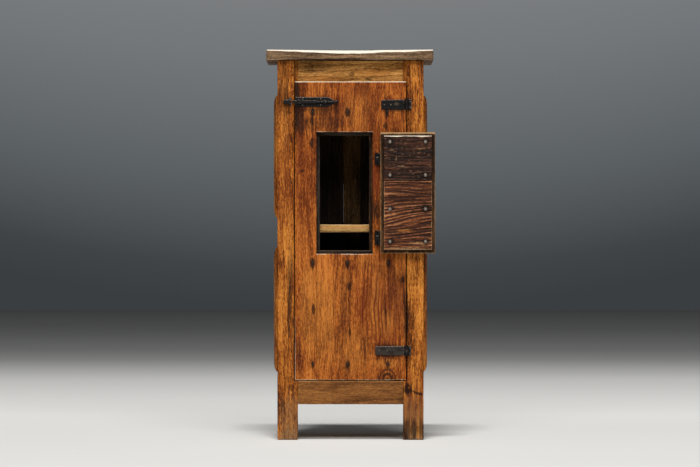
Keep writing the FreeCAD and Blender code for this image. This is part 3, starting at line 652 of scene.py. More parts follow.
@dataclass(frozen=True)
class Tooling:
    """How a piece was worked and how far it has worn, in millimetres.

    Attributes:
        arris: Width taken off each arris.
        cell: Spacing of the mesh along X, Y and Z.
        uneven: How far hand planing or hammering leaves the faces uneven.
        chip: How deep the dents in the arrises go.
        rub: How far from an arris the dents and the pale colour reach.
        pale: How strongly a pale arris shows.
        least: Length of the shortest edge that counts as an arris.
        facing: Ways that a pale arris faces; with none given, every arris is pale. Those that face up are
            rubbed wear and a painted highlight, where light from above catches them.
        closed: Places along X where two planks meet and keep their sharp arrises.
        boxed: True if only the outermost edges and those of the front count as arrises.
        relief: Raised grain on the front, if there is any.
    """

    arris: float = 2.2
    cell: Point = (16.0, 16.0, 16.0)
    uneven: float = 0.7
    chip: float = 3.0
    rub: float = 7.0
    pale: float = 1.0
    least: float = 12.0
    facing: tuple[Point, ...] = ()
    closed: tuple[float, ...] = ()
    boxed: bool = True
    relief: Relief | None = None

    def joins(self, place: Vector) -> bool:
        """Say whether a place lies where two planks meet."""
        return any(abs(place.x - x * MM) < CLOSED_MM * MM for x in self.closed)

    def eases(self, edge: BMEdge, low: Vector, high: Vector) -> bool:
        """Say whether an edge is an arris to ease.

        Args:
            edge: The edge.
            low: Lowest corner of the piece.
            high: Highest corner of the piece.

        Returns:
            True if it is eased.
        """
        if len(edge.link_faces) != 2 or not edge.is_convex or edge.calc_length() < self.least * MM:
            return False
        first, last = (v.co for v in edge.verts)
        near = ON_SIDE_MM * MM
        upright = abs(first.x - last.x) < near
        if edge.calc_face_angle() < ARRIS_ANGLE or (upright and self.joins(first)):
            return False
        sides = [
            (axis, end is low)
            for axis in range(3)
            for end in (low, high)
            if abs(first[axis] - end[axis]) < near and abs(last[axis] - end[axis]) < near
        ]
        return not self.boxed or len(sides) > 1 or (1, True) in sides

    def pales(self, edge: BMEdge) -> bool:
        """Say whether an arris faces one of the ways that are painted pale."""
        out = sum((face.normal for face in edge.link_faces), Vector()).normalized()
        return not self.facing or any(out.dot(Vector(way).normalized()) > 0.9 for way in self.facing)


def lattice(low: float, high: float, cell: float, margin: float) -> list[float]:
    """Return the places where a piece is cut into a grid along one axis.

    Args:
        low: Where the piece starts.
        high: Where it ends.
        cell: Spacing of the grid.
        margin: Extra cut this far inside each end, which holds the arris.

    Returns:
        The places in order.
    """
    count = max(1, round((high - low) / cell))
    places = [low + (high - low) * step / count for step in range(1, count)]
    places = [p for p in places if low + 1.5 * margin < p < high - 1.5 * margin]
    if high - low > 4 * margin:
        places += [low + margin, high - margin]
    return sorted(places)


def slice_up(bm: BMesh, faces: list[BMFace], axis: int, places: Sequence[float]) -> None:
    """Cut faces into strips, halving the places so that each cut meets few faces.

    Args:
        bm: The mesh.
        faces: The faces to cut.
        axis: The axis that the cuts stand across.
        places: Where to cut, in order.
    """
    if not places or not faces:
        return
    middle = len(places) // 2
    normal = Vector([1.0 if other == axis else 0.0 for other in range(3)])
    edges = dict.fromkeys(edge for face in faces for edge in face.edges)
    verts = dict.fromkeys(vert for face in faces for vert in face.verts)
    geom = [*verts, *edges, *faces]
    done = bmesh.ops.bisect_plane(
        bm, geom=geom, dist=0.01 * MM, plane_co=normal * places[middle], plane_no=normal
    )
    left = [face for face in done["geom"] if isinstance(face, BMFace)]
    below = [face for face in left if face.calc_center_median()[axis] < places[middle]]
    above = [face for face in left if face.calc_center_median()[axis] >= places[middle]]
    slice_up(bm, below, axis, places[:middle])
    slice_up(bm, above, axis, places[middle + 1:])


def points_along(edges: Sequence[BMEdge]) -> KDTree:
    """Return points along edges, ready for finding the nearest.

    Args:
        edges: The edges.

    Returns:
        The points.
    """
    points = [
        edge.verts[0].co.lerp(edge.verts[1].co, step / steps)
        for edge in edges
        for steps in (max(1, round(edge.calc_length() / (STEP_MM * MM))),)
        for step in range(steps + 1)
    ]
    tree = KDTree(len(points))
    for count, point in enumerate(points):
        tree.insert(point, count)
    tree.balance()
    return tree


def closeness(tree: KDTree, place: Vector, reach: float) -> float:
    """Return 1 at one of the points and 0 at the reach or farther.

    Args:
        tree: The points.
        place: The place.
        reach: The reach, in metres.

    Returns:
        The closeness.
    """
    gap = tree.find(place)[2]
    return 0.0 if gap is None else max(0.0, 1 - gap / reach)


def solid_mesh(node: str) -> BMesh:
    """Return a copy of a solid's mesh, with its loose triangles merged.

    Args:
        node: The solid's name.

    Returns:
        The mesh.
    """
    bm = bmesh.new()
    bm.from_mesh(frame["nodes"][node].data)
    bmesh.ops.remove_doubles(bm, verts=bm.verts, dist=MERGE_MM * MM)
    return bm


def worn_copy(node: str, tooling: Tooling, settle: Settle | None = None, rub: PaleAt | None = None) -> Object:
    """Copy a solid of the frame as a worn piece: arrises eased, faces uneven, edges dented.

    Args:
        node: The solid's name.
        tooling: How it was worked and worn.
        settle: A last move of each place, such as a sag.
        rub: How pale a place is painted besides its arrises: rubbed wear, and a painted highlight along upper
            edges.

    Returns:
        The new piece.
    """
    low, high = box_of(node)
    bm = solid_mesh(node)
    bmesh.ops.dissolve_limit(bm, angle_limit=FLAT_ANGLE, verts=bm.verts, edges=bm.edges)
    bm.normal_update()
    arrises = [edge for edge in bm.edges if tooling.eases(edge, low, high)]
    near_arris = points_along(arrises)
    near_pale = points_along([edge for edge in arrises if tooling.pales(edge)])
    if arrises and tooling.arris:
        width = {"offset": tooling.arris * MM, "offset_type": "OFFSET", "clamp_overlap": True}
        bmesh.ops.bevel(bm, geom=arrises, affect="EDGES", segments=3, profile=0.5, material=-1, **width)
    for axis in range(3):
        places = lattice(low[axis], high[axis], tooling.cell[axis] * MM, tooling.rub * 0.6 * MM)
        slice_up(bm, list(bm.faces), axis, places)
    bm.normal_update()
    chance = random.Random(node)
    shift = Vector([chance.uniform(-40, 40) for _ in range(3)])
    wear(bm, tooling, near_arris, near_pale, shift, settle, rub)
    return piece_from(bm, f"worn_{node}")


def wear(
    bm: BMesh,
    tooling: Tooling,
    near_arris: KDTree,
    near_pale: KDTree,
    shift: Vector,
    settle: Settle | None,
    rub: PaleAt | None,
) -> None:
    """Move the places of a mesh inwards, as planing, use and weather have.

    The factors on places say how often the noise turns in a metre.

    Args:
        bm: The mesh.
        tooling: How it was worked and worn.
        near_arris: Points along all its arrises.
        near_pale: Points along those that are painted pale.
        shift: The piece's own offset in the noise.
        settle: A last move of each place.
        rub: How pale a place is painted besides its arrises: rubbed wear, and a painted highlight along upper
            edges.
    """
    arris_layer = bm.verts.layers.float.new("arris")
    relief_layer = bm.verts.layers.float.new("relief")
    moves = []
    for vert in bm.verts:
        place = vert.co + shift
        inward = tooling.uneven * (0.5 + 0.4 * noise.noise(place * 9) + 0.25 * noise.noise(place * 31))
        dent = max(0.0, noise.noise(place * 24) + 0.5 * noise.noise(place * 70) - 0.22)
        inward += tooling.chip * dent * closeness(near_arris, vert.co, tooling.rub * MM)
        stand = 0.5
        if tooling.relief and vert.normal.y < -0.6:
            stand = tooling.relief.stand(vert.co, shift)
            inward += tooling.relief.depth * (1 - stand)
        pale = tooling.pale * closeness(near_pale, vert.co, tooling.rub * MM)
        vert[arris_layer] = max(pale, rub(vert.co)) if rub else pale
        vert[relief_layer] = stand
        way = vert.normal.copy()
        if tooling.joins(vert.co):
            way.x = 0.0
        moves.append((vert, vert.co - way * max(0.0, inward) * MM))
    for vert, place in moves:
        vert.co = settle(place) if settle else place


def piece_from(bm: BMesh, name: str) -> Object:
    """Turn a finished mesh into a piece of the scene.

    Args:
        bm: The mesh, which is freed.
        name: The piece's name.

    Returns:
        The piece, smooth except at its sharp edges.
    """
    for part in (*bm.faces, *bm.edges):
        part.smooth = True
    mesh = bpy.data.meshes.new(name)
    bm.to_mesh(mesh)
    bm.free()
    if "custom_normal" in mesh.attributes:
        mesh.attributes.remove(mesh.attributes["custom_normal"])
    mesh.set_sharp_from_angle(angle=SHARP_ANGLE)
    piece = bpy.data.objects.new(name, mesh)
    bpy.context.scene.collection.objects.link(piece)
    return piece


def dress(piece: Object, node: str, material: Material) -> Object:
    """Give a piece its finish, and let it stand for a solid on that solid's body.

    Args:
        piece: The piece.
        node: The solid that it stands for.
        material: The finish.

    Returns:
        The same piece.
    """
    piece.data.materials.append(material)
    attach(piece, frame["nodes"][node]["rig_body"])
    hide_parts(node)
    return piece


def wooden(
    node: str,
    finish: Pine,
    cut: Cut,
    tooling: Tooling,
    marks: Sequence[Mark] = (),
    settle: Settle | None = None,
    rub: PaleAt | None = None,
) -> Object:
    """Make one worn board.

    Args:
        node: The solid that it stands for.
        finish: Its wood.
        cut: How it was sawn.
        tooling: How it was worked and worn.
        marks: Its stains, knots, painted shade and painted highlights.
        settle: A last move of each place.
        rub: How pale a place is painted besides its arrises: rubbed wear, and a painted highlight along upper
            edges.

    Returns:
        The board.
    """
    low, high = box_of(node)
    material = finish.material(node, (low + high) / 2, cut, marks)
    return dress(worn_copy(node, tooling, settle, rub), node, material)


# Ironwork: edges that face up, back and up, or right take a painted glint with the rubbed grey
FORGED = Tooling(
    arris=0.9, cell=(4.0, 4.0, 4.0), uneven=0.25, chip=0.8, rub=3.4, least=2.0, facing=(UP, (0, 1, 1), RIGHT),
    boxed=False,
)


def forged(node: str, marks: Sequence[Mark] = (), finish: ForgedIron = IRON) -> Object:
    """Make one hammered piece of ironwork, with its rusty marks, in place of a solid."""
    return dress(worn_copy(node, FORGED), node, finish.material(node, marks))


def islands(bm: BMesh) -> Iterator[list[BMVert]]:
    """Return the loose parts of a mesh, one by one.

    Args:
        bm: The mesh.

    Returns:
        The vertices of each part.
    """
    left = set(bm.verts)
    while left:
        part, todo = [], [left.pop()]
        while todo:
            vert = todo.pop()
            part.append(vert)
            for edge in vert.link_edges:
                other = edge.other_vert(vert)
                if other in left:
                    left.remove(other)
                    todo.append(other)
        yield part


@dataclass(frozen=True)
class Nail:
    """One hammered nail in place of a plain one.

    Attributes:
        middle: Middle of the rim of its head.
        way: The way that the head faces.
        radius: Radius of the head.
        height: Height of the head over its rim.
        shank: Length of the rest.
        dent: Share of the radius that blows have taken off the rim.
        facet: Share of the height that they have taken off the face.
        flat: How much flatter than a ball the head is.
        tip: Thickness of the point, as a share of the head.
        neck: Thickness under the head, as a share of the head.
    """

    middle: Vector
    way: Vector
    radius: float
    height: float
    shank: float
    dent: float = 0.1
    facet: float = 0.22
    flat: float = 1.4
    tip: float = 0.12
    neck: float = 0.3

    @classmethod
    def like(cls, part: list[BMVert]) -> "Nail":
        """Read place and size off a plain nail.

        Args:
            part: The plain nail's vertices.

        Returns:
            The nail.
        """
        low = Vector([min(v.co[axis] for v in part) for axis in range(3)])
        high = Vector([max(v.co[axis] for v in part) for axis in range(3)])
        axis = max(range(3), key=lambda a: high[a] - low[a])
        middle = (low + high) / 2
        flat = [other for other in range(3) if other != axis]
        spread = {v: math.dist([v.co[a] for a in flat], [middle[a] for a in flat]) for v in part}
        radius = max(spread.values())
        rim = [v.co[axis] for v in part if spread[v] > 0.98 * radius]
        base = sum(rim) / len(rim)
        outward = 1.0 if high[axis] - base < base - low[axis] else -1.0
        height = high[axis] - base if outward > 0 else base - low[axis]
        middle[axis] = base
        way = Vector([outward if other == axis else 0.0 for other in range(3)])
        return cls(middle, way, radius, height, high[axis] - low[axis] - height)

    def forge(self, bm: BMesh, angle: float) -> None:
        """Add the nail to a mesh that has the arris layer.

        Args:
            bm: The mesh.
            angle: How far the nail is turned about itself.
        """
        arris_layer = bm.verts.layers.float["arris"]
        head = bmesh.ops.create_icosphere(bm, subdivisions=3, radius=1.0)["verts"]
        for vert in head:
            side = 1 - self.dent * max(0.0, noise.noise(vert.co * 2.1 + self.middle * 900))
            facet = 1 - self.facet * max(0.0, noise.noise(vert.co * 1.3 - self.middle * 700))
            # The crown takes the grey of rubbed metal and a painted glint
            vert[arris_layer] = max(0.0, vert.co.z)
            up = max(-1.0, min(1.0, vert.co.z * self.flat)) * self.height * facet
            vert.co = Vector((vert.co.x * self.radius * side, vert.co.y * self.radius * side, up))
        ends = {"radius1": self.radius * self.tip, "radius2": self.radius * self.neck, "depth": self.shank}
        stem = bmesh.ops.create_cone(bm, cap_ends=True, segments=8, **ends)["verts"]
        bmesh.ops.translate(bm, verts=stem, vec=(0, 0, -self.shank / 2))
        turn = self.way.to_track_quat("Z", "Y").to_matrix().to_4x4() @ Matrix.Rotation(angle, 4, "Z")
        bmesh.ops.transform(bm, matrix=Matrix.Translation(self.middle) @ turn, verts=head + stem)


def forged_nails(node: str, finish: ForgedIron) -> Object:
    """Make hammered nails in place of the plain ones of a solid.

    Args:
        node: The solid that holds the nails.
        finish: Their iron.

    Returns:
        All the nails as one piece.
    """
    source = solid_mesh(node)
    nails = [Nail.like(part) for part in islands(source)]
    source.free()
    nails.sort(key=lambda nail: tuple(round(value, 5) for value in nail.middle))
    chance = random.Random(node)
    bm = bmesh.new()
    bm.verts.layers.float.new("arris")
    for nail in nails:
        nail.forge(bm, chance.uniform(0, math.pi))
    return dress(piece_from(bm, f"forged_{node}"), node, finish.material(node))


@dataclass
class Carcase:
    """Posts, rails, panels, back, top, floor and shelf.

    Attributes:
        post: How the posts are worked.
        rail: How the rails are worked.
        peg: How the pegs are worked.
        panel: How the raised panels are worked.
        board: How the boards of back, floor and shelf are worked.
        top: How the front board of the top is worked.
        top_back: How the board behind it is worked.
        sag_mm: How far the front of the top is worn down in the middle.
        sag_reach_mm: How far back that wear reaches.
        round_mm: How far the upper half of its front is rounded back there.
        tongue_mm: Thickness of the slips in the joints of the back, and what they leave free above and below.
        lap_mm: How far a slip goes into the boards beside it.
        split_joint: The joint of the back where a piece of the slip has broken out.
        split_mm: Lower and upper end of that break.
        slit_mm: Width of the slit that it leaves.
    """

    post: Tooling = Tooling(arris=2.6, uneven=0.9, chip=4.0, rub=5.0, facing=((0, 0, 1),))
    rail: Tooling = Tooling(arris=1.6, cell=(18.0, 12.0, 12.0), rub=4.5, facing=UPWARD)
    peg: Tooling = Tooling(
        arris=0.8, cell=(60.0, 60.0, 60.0), uneven=0.2, chip=0.5, rub=2.0, least=0.2, boxed=False
    )
    panel: Tooling = Tooling(arris=0.0, cell=(8.0, 14.0, 14.0), uneven=0.8)
    board: Tooling = Tooling(arris=1.4, cell=(24.0, 24.0, 24.0), facing=UPWARD)
    top: Tooling = Tooling(
        arris=2.0, cell=(9.0, 12.0, 2.2), uneven=1.0, chip=4.5, rub=9.0, facing=UPWARD,
        relief=Relief(spacing=15.0, depth=1.2, drift=10.0),
    )
    top_back: Tooling = Tooling(
        arris=2.4, cell=(14.0, 14.0, 6.0), uneven=1.0, chip=4.0, rub=11.0, facing=UPWARD
    )
    sag_mm: float = 4.2
    sag_reach_mm: float = 120.0
    round_mm: float = 6.0
    tongue_mm: float = 3.0
    lap_mm: float = 1.2
    split_joint: int = 2
    split_mm: tuple[float, float] = (742.0, 874.0)
    slit_mm: float = 0.2

    def build(self) -> Pieces:
        """Build every piece of the carcase.

        Returns:
            The pieces, one by one.
        """
        yield from self.build_posts()
        yield from self.build_rails()
        yield from self.build_panels()
        yield from self.build_back()
        yield from self.build_top()
        yield from self.build_inside()
        yield from self.build_iron()

    def build_posts(self) -> Pieces:
        """Build the four posts, with soil at the feet, and a dark knot and a crack in the right leg.

        Returns:
            The posts.
        """
        feet = marks_of({Stain.SOIL: [(x, 0, 60, 60, 0.55) for x in (-214, 214)]})
        left_marks = feet + marks_of({
            Stain.RED: [(-196, 560, 16, 60, 0.6), (-226, 830, 44, 200, 0.3)],
            Stain.GOLD: [(-234, 430, 10, 140, 0.4), (-228, 1222, 22, 60, 0.4), (-226, 1080, 16, 120, 0.35)],
            Stain.SOIL: [(-214, 70, 60, 100, 0.3)],
            # (-190, 1262) is painted shade under the top's overhang, at the post's inner edge
            Stain.SMOKE_AND_SHADE: [(-206, 500, 10, 160, 0.8), (-190, 1262, 12, 44, 0.55), (-214, 70, 60, 110, 0.3)],
            Stain.KNOT: [(-201, 178, 8, 12, 0.7), (-203, 208, 14, 8, 0.5)],
        })
        crack = [(206 + 8 * step, 168 - 3.2 * step, 11, 6, 0.85) for step in range(5)]
        right_marks = feet + marks_of({
            Stain.RED: [(212, 110, 80, 110, 0.85)],
            Stain.GOLD: [(222, 380, 12, 90, 0.35)],
            Stain.SOIL: [(214, 60, 70, 110, 0.2)],
            Stain.SMOKE_AND_SHADE: [(214, 60, 160, 130, 0.45), (205, 38, 120, 48, 0.8), (188, 430, 17, 130, 0.85)],
            Stain.IRON: [(193, 173, 25, 25, 0.95), (199, 176, 16, 14, 0.9), (206, 34, 100, 50, 0.55), *crack],
        })
        cuts = {
            "front_left_post": (Cut(pith_mm=(20, 70), lean=(0.012, 0.02)), left_marks),
            "front_right_post": (Cut(pith_mm=(-28, 80), lean=(-0.015, 0.012)), right_marks),
            "back_left_post": (Cut(pith_mm=(35, -40)), feet),
            "back_right_post": (Cut(pith_mm=(-35, -45)), feet),
        }
        for node, (cut, marks) in cuts.items():
            yield wooden(node, POST_PINE, cut, self.post, marks)

    def build_rails(self) -> Pieces:
        """Build the rails between the posts, and the pegs that pin them.

        Returns:
            The rails and pegs.
        """
        top_marks = marks_of({
            Stain.GOLD: [(80, 1248, 90, 16, 0.45), (-90, 1230, 70, 12, 0.4)],
            # (-120, 1266) is painted shadow of the top's overhang on the left of the rail
            Stain.SMOKE_AND_SHADE: [(-120, 1266, 70, 26, 0.55)],
            Stain.KNOT: [(5, 1244, 9, 7, 0.8)],
            Stain.IRON: [(62, 1228, 16, 4, 0.7)],
        })
        cuts = {
            "front_top_rail": (RAIL_PINE, Cut(Grain.ACROSS, (45, 40), (0.03, 0.05)), top_marks),
            "front_bottom_rail": (LOW_RAIL_PINE, Cut(Grain.ACROSS, (20, 60), (0.02, 0.03)), []),
            "back_top_rail": (RAIL_PINE, Cut(Grain.ACROSS, (30, -50)), []),
            "back_bottom_rail": (LOW_RAIL_PINE, Cut(Grain.ACROSS, (-30, -50)), []),
        }
        for node, (finish, cut, marks) in cuts.items():
            yield wooden(node, finish, cut, self.rail, marks)
        for word, side in (("left", -1), ("right", 1)):
            for level, depth in (("top", 40), ("middle", 70), ("bottom", 55)):
                cut = Cut(Grain.BACKWARD, (-side * depth, 18.0))
                yield wooden(f"{word}_{level}_rail", POST_PINE, cut, self.rail)
        yield wooden("joint_pegs", PEG_PINE, Cut(), self.peg)

    def build_panels(self) -> Pieces:
        """Build the raised panels of both sides.

        Returns:
            The panels.
        """
        for word, side in (("left", -1), ("right", 1)):
            for level, shift in (("upper", 25), ("lower", -40)):
                cut = Cut(pith_mm=(-side * 60, shift), lean=(0.02, 0.015))
                yield wooden(f"{word}_{level}_panel", POST_PINE, cut, self.panel)

    def build_back(self) -> Pieces:
        """Build the upright boards of the back, and the slips in their joints.

        Returns:
            The boards and slips.
        """
        piths = (30, -20, 45, -35, 15)
        for count, across in enumerate(piths, 1):
            # Inside faces get painted shade, nearly black, for the dark inside the cupboard; the outside
            # faces get the weathered wood
            finish = PALE_BACK_PINE if count == 3 else DIM_BACK_PINE
            cut = Cut(pith_mm=(across, -70), lean=(0.02, 0.01 * count))
            board = wooden(f"back_board_{count}", finish, cut, self.board)
            middle = sum(box_of(f"back_board_{count}"), Vector()) / 2
            board.data.materials.append(BACK_PINE.material(f"outside_{count}", middle, cut))
            for face in board.data.polygons:
                face.material_index = int(face.normal.y > 0.5)
            yield board
        for count in range(1, len(piths)):
            yield self.build_tongue(count)

    def build_tongue(self, count: int) -> Object:
        """Build the thin slip in one joint of the back, broken out over a short length at the split joint.

        Args:
            count: The number of the board on its left.

        Returns:
            The slip.
        """
        left, right = box_of(f"back_board_{count}"), box_of(f"back_board_{count + 1}")
        thick, lap = self.tongue_mm * MM, self.lap_mm * MM
        bottom, top = left[0].z + thick, left[1].z - thick
        first, last = left[1].x - lap, right[0].x + lap
        spans = [(bottom, top, last)]
        if count == self.split_joint:
            lower, upper = (height * MM for height in self.split_mm)
            broken = (lower, upper, right[0].x - self.slit_mm * MM)
            spans = [(bottom, lower, last), broken, (upper, top, last)]
        bm = bmesh.new()
        for low, high, end in spans:
            middle = ((first + end) / 2, (left[0].y + left[1].y) / 2, (low + high) / 2)
            matrix = Matrix.Translation(middle) @ Matrix.Diagonal((end - first, thick, high - low, 1.0))
            made = bmesh.ops.create_cube(bm, size=1.0, matrix=matrix)["verts"]
            edges = [*dict.fromkeys(edge for vert in made for edge in vert.link_edges)]
            bmesh.ops.bevel(
                bm, geom=edges, offset=0.5 * MM, segments=2, profile=0.5, affect="EDGES", material=-1
            )
        piece = piece_from(bm, f"back_tongue_{count}")
        piece.data.materials.append(DIM_BACK_PINE.material(f"tongue_{count}", left[1], Cut()))
        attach(piece, "carcase")
        return piece

    def hollow(self, place: Vector) -> float:
        """Return how far the top is worn at a place along it, 0 at its ends and about 1 in the middle.

        Args:
            place: The place.

        Returns:
            The share of the full wear.
        """
        low, high = box_of("top_front_board")
        along = clamp((place.x - low.x) / (high.x - low.x))
        uneven = 0.85 + 0.4 * noise.noise(Vector((place.x * 14.0, 3.7, 0.0)))
        return math.sin(math.pi * along) ** 1.3 * uneven

    def sag(self, place: Vector) -> Vector:
        """Return where a place of the top lies once its front has worn hollow and round.

        Args:
            place: The place on the sound board.

        Returns:
            The place on the worn board.
        """
        low, high = box_of("top_front_board")
        back = clamp((place.y - low.y) / (self.sag_reach_mm * MM))
        up = clamp((place.z - low.z) / (high.z - low.z))
        drop = self.sag_mm * MM * self.hollow(place) * (1 - back) ** 2 * up ** 2
        ease = self.round_mm * MM * self.hollow(place) * max(0.0, up - 0.5) ** 2 * 4 * max(0.0, 1 - 6 * back)
        return place + Vector((0, ease, -drop))

    def top_wear_and_highlight(self, place: Vector) -> float:
        """Return how pale the upper front of the top is painted at a place: bleached wood, and a painted
        highlight where light from above catches the rounded front.

        Args:
            place: The place on the sound board.

        Returns:
            From 0 for not pale to 1 for fully pale.
        """
        low, high = box_of("top_front_board")
        ragged = 1.8 * noise.noise(Vector((place.x * 40.0, 0.0, 1.3)))
        reach = (4.5 + 10.5 * self.hollow(place) + ragged) * MM
        back = max(0.0, (place.y - low.y) / (high.y - low.y))
        worn = 0.5 + 0.25 * noise.noise(Vector((place.x * 5.0, place.y * 22.0, 7.7)))
        most = 1.4 if back < 0.06 else max(worn, 1.4 - 5.0 * back)
        return min(most, max(0.0, (place.z - high.z + reach) / (3.0 * MM)))

    def build_top(self) -> Pieces:
        """Build the two boards of the top.

        Returns:
            The boards.
        """
        stripes = marks_of({
            # The stripe at 1293 is painted shade along the foot of the front edge
            Stain.SMOKE_AND_SHADE: [(0, 1311, 330, 4.0, 0.65), (0, 1293, 330, 5.0, 0.7)],
            Stain.BARE: [(0, 1303, 330, 5.0, 0.25)],
        })
        cut = Cut(Grain.ACROSS, (60, 30), (0.01, 0.03))
        yield wooden("top_front_board", TOP_PINE, cut, self.top, stripes, self.sag, self.top_wear_and_highlight)
        cut = Cut(Grain.ACROSS, (70, -30))
        yield wooden("top_back_board", TOP_PINE, cut, self.top_back, rub=self.top_wear_and_highlight)

    def build_inside(self) -> Pieces:
        """Build the floor, the shelf and their cleats.

        Returns:
            The pieces inside.
        """
        low, high = (corner.z / MM for corner in box_of("shelf"))
        # Along the shelf's front edge: a painted highlight at its top and painted shade at its foot
        edges = marks_of({Stain.GOLD: [(0, high - 7, 400, 8, 0.2)], Stain.SMOKE_AND_SHADE: [(0, low, 400, 7, 0.5)]})
        yield wooden("shelf", BARE_PINE, Cut(Grain.ACROSS, (40, 50)), self.board, edges)
        for node, grain, across in (
            ("floor_board", Grain.ACROSS, -30),
            ("floor_cleats", Grain.BACKWARD, 15),
            ("shelf_cleats", Grain.BACKWARD, 25),
        ):
            yield wooden(node, BARE_PINE, Cut(grain, (across, 50)), self.board)

    def build_iron(self) -> Pieces:
        """Build the ironwork that stays on the carcase.

        Returns:
            The ironwork.
        """
        for node in ("upper_post_leaf", "lower_post_leaf", "door_hinge_pins", "bolt_keeper"):
            yield forged(node)
        yield forged_nails("carcase_nails", NAIL_IRON)
        yield forged_nails("post_iron_nails", STRAP_NAIL_IRON)


@dataclass
class Door:
    """The plank door, its ledges, the stops round the hatch opening, and its ironwork.

    Attributes:
        plank: How the planks are worked.
        ledge: How the ledges are worked.
        stop: How the stops are worked.
        rubbed_below_mm: Height below which the left edge is rubbed.
        rub_fade_mm: Height over which that rubbing grows.
        nail_rows_mm: Heights of the nail rows.
        nail_columns_mm: Places of the nails across the door.
    """

    plank: Tooling = Tooling(
        arris=1.6, cell=(12.0, 14.0, 14.0), uneven=0.7, chip=3.0, rub=5.0, pale=0.75, facing=(UP, DOWN),
        closed=(-116.07, 116.07),
    )
    ledge: Tooling = Tooling(arris=2.0, cell=(20.0, 14.0, 14.0))
    stop: Tooling = Tooling(arris=1.4, cell=(14.0, 14.0, 14.0), rub=5.0, pale=0.6)
    rubbed_below_mm: float = 640.0
    rub_fade_mm: float = 240.0
    nail_rows_mm: tuple[float, ...] = (259.7, 603.2, 1117.2)
    nail_columns_mm: tuple[float, ...] = (-127.7, -10.4, 126.3)

    def build(self) -> Pieces:
        """Build every piece of the door.

        Returns:
            The pieces, one by one.
        """
        yield from self.build_planks()
        for level, across in (("upper", 20), ("middle", -30), ("lower", 40)):
            finish = STOP_PINE if level == "middle" else BARE_PINE
            yield wooden(f"door_{level}_ledge", finish, Cut(Grain.ACROSS, (across, -60)), self.ledge)
        for word, finish in (("left", STOP_PINE), ("right", RIM_PINE)):
            yield wooden(f"hatch_{word}_stop", finish, Cut(), self.stop)
        yield wooden("hatch_top_stop", STOP_PINE, Cut(Grain.ACROSS), self.stop)
        yield forged("upper_strap", marks_of({Stain.SOIL: [(156, 1143, 11, 7, 0.4)]}), BLACK_IRON)
        black = [(x, z, 16, 8, 0.6) for x, z in ((112, 310), (138, 298), (164, 308))]
        yield forged("lower_strap", marks_of({Stain.IRON: black}), GREY_IRON)
        for node in ("bolt_plate", "bolt_guides", "hatch_door_leaves", "hatch_hinge_pins"):
            yield forged(node)
        yield forged_nails("door_iron_nails", STRAP_NAIL_IRON)
        yield forged_nails("door_nails", SUNK_IRON)

    def marks(self) -> list[Mark]:
        """Return the stains, knots and painted shadows of the door's front.

        Returns:
            The marks, with rust round each nail, and soot and painted shadow round the irons.
        """
        nails = [(x, z - 4, 10, 21, 0.9) for x in self.nail_columns_mm for z in self.nail_rows_mm]
        edge = [(-184, z, 14, 32, 0.85) for z in (1080, 1110, 1140, 1170, 1200)]
        return marks_of({
            Stain.RED: [
                (90, 890, 20, 70, 0.7), (130, 470, 76, 190, 0.75), (36, 480, 22, 130, 0.4),
                (-176, 290, 14, 90, 0.4), (-150, 900, 50, 200, 0.14), (40, 1140, 170, 110, 0.2),
            ],
            Stain.GOLD: [
                (126, 262, 60, 18, 0.4), (120, 395, 34, 60, 0.4), (84, 460, 34, 130, 0.35),
                (30, 1120, 60, 90, 0.25), (-110, 420, 80, 190, 0.45), (10, 300, 70, 100, 0.35),
            ],
            Stain.SMOKE_AND_SHADE: [
                # (132, 302) and (145, 1132) darken round the straps, and (-165, 1088), (-110, 1132), (-90,
                # 1080), (-150, 1075) and (-110, 1112) below the bolt: painted shadow of the irons, mixed with
                # soot
                *edge, (-165, 1088, 30, 36, 0.6), (132, 302, 76, 34, 0.75), (145, 1132, 66, 34, 0.5),
                (-110, 1132, 96, 44, 0.65), (-90, 1080, 90, 40, 0.5), (-150, 1075, 40, 46, 0.6),
                (-110, 1112, 80, 18, 0.55), (187, 435, 12, 120, 0.85), (90, 776, 22, 52, 0.92),
                (92, 690, 18, 40, 0.8), (-12, 490, 24, 180, 0.3), (60, 600, 60, 40, 0.3),
                (102, 570, 14, 40, 0.5), (146, 560, 18, 60, 0.45), (-177, 285, 13, 80, 0.5),
                (152, 500, 62, 150, 0.5),
            ],
            Stain.FLAME: [(84, 450, 66, 190, 0.75)],
            Stain.KNOT: [(126, 208, 29, 34, 0.95)],
            Stain.IRON: [
                *nails, (178, 545, 9, 18, 0.85), (-126, 443, 8, 18, 0.8), (-6, 520, 8, 20, 0.8),
                (-2, 366, 6, 14, 0.7), (120, 438, 4, 14, 0.7), (-133, 1012, 9, 20, 0.85),
                (-131, 1086, 11, 24, 0.75), (-187, 1060, 6, 60, 0.6), (-164, 914, 12, 6, 0.75),
                (-8, 1122, 9, 10, 0.6), (116, 1165, 4, 10, 0.6), (117, 1068, 10, 12, 0.75),
                (117, 268, 4, 16, 0.8), (128, 304, 66, 27, 0.5),
            ],
        })

    def build_planks(self) -> Pieces:
        """Build the three planks.

        Returns:
            The planks.
        """
        cuts = {
            "door_left_plank": Cut(pith_mm=(-30, 95), lean=(0.01, 0.016)),
            "door_middle_plank": Cut(pith_mm=(55, 80), lean=(0.02, -0.03)),
            "door_right_plank": Cut(pith_mm=(-22, 50), lean=(0.05, 0.02)),
        }
        for node, cut in cuts.items():
            left, right = (corner.x / MM for corner in box_of(node))
            near = [m for m in self.marks() if left - m.half_width < m.x < right + m.half_width]
            yield wooden(node, DOOR_PINE, cut, self.plank, near, rub=self.door_wear_and_highlight)

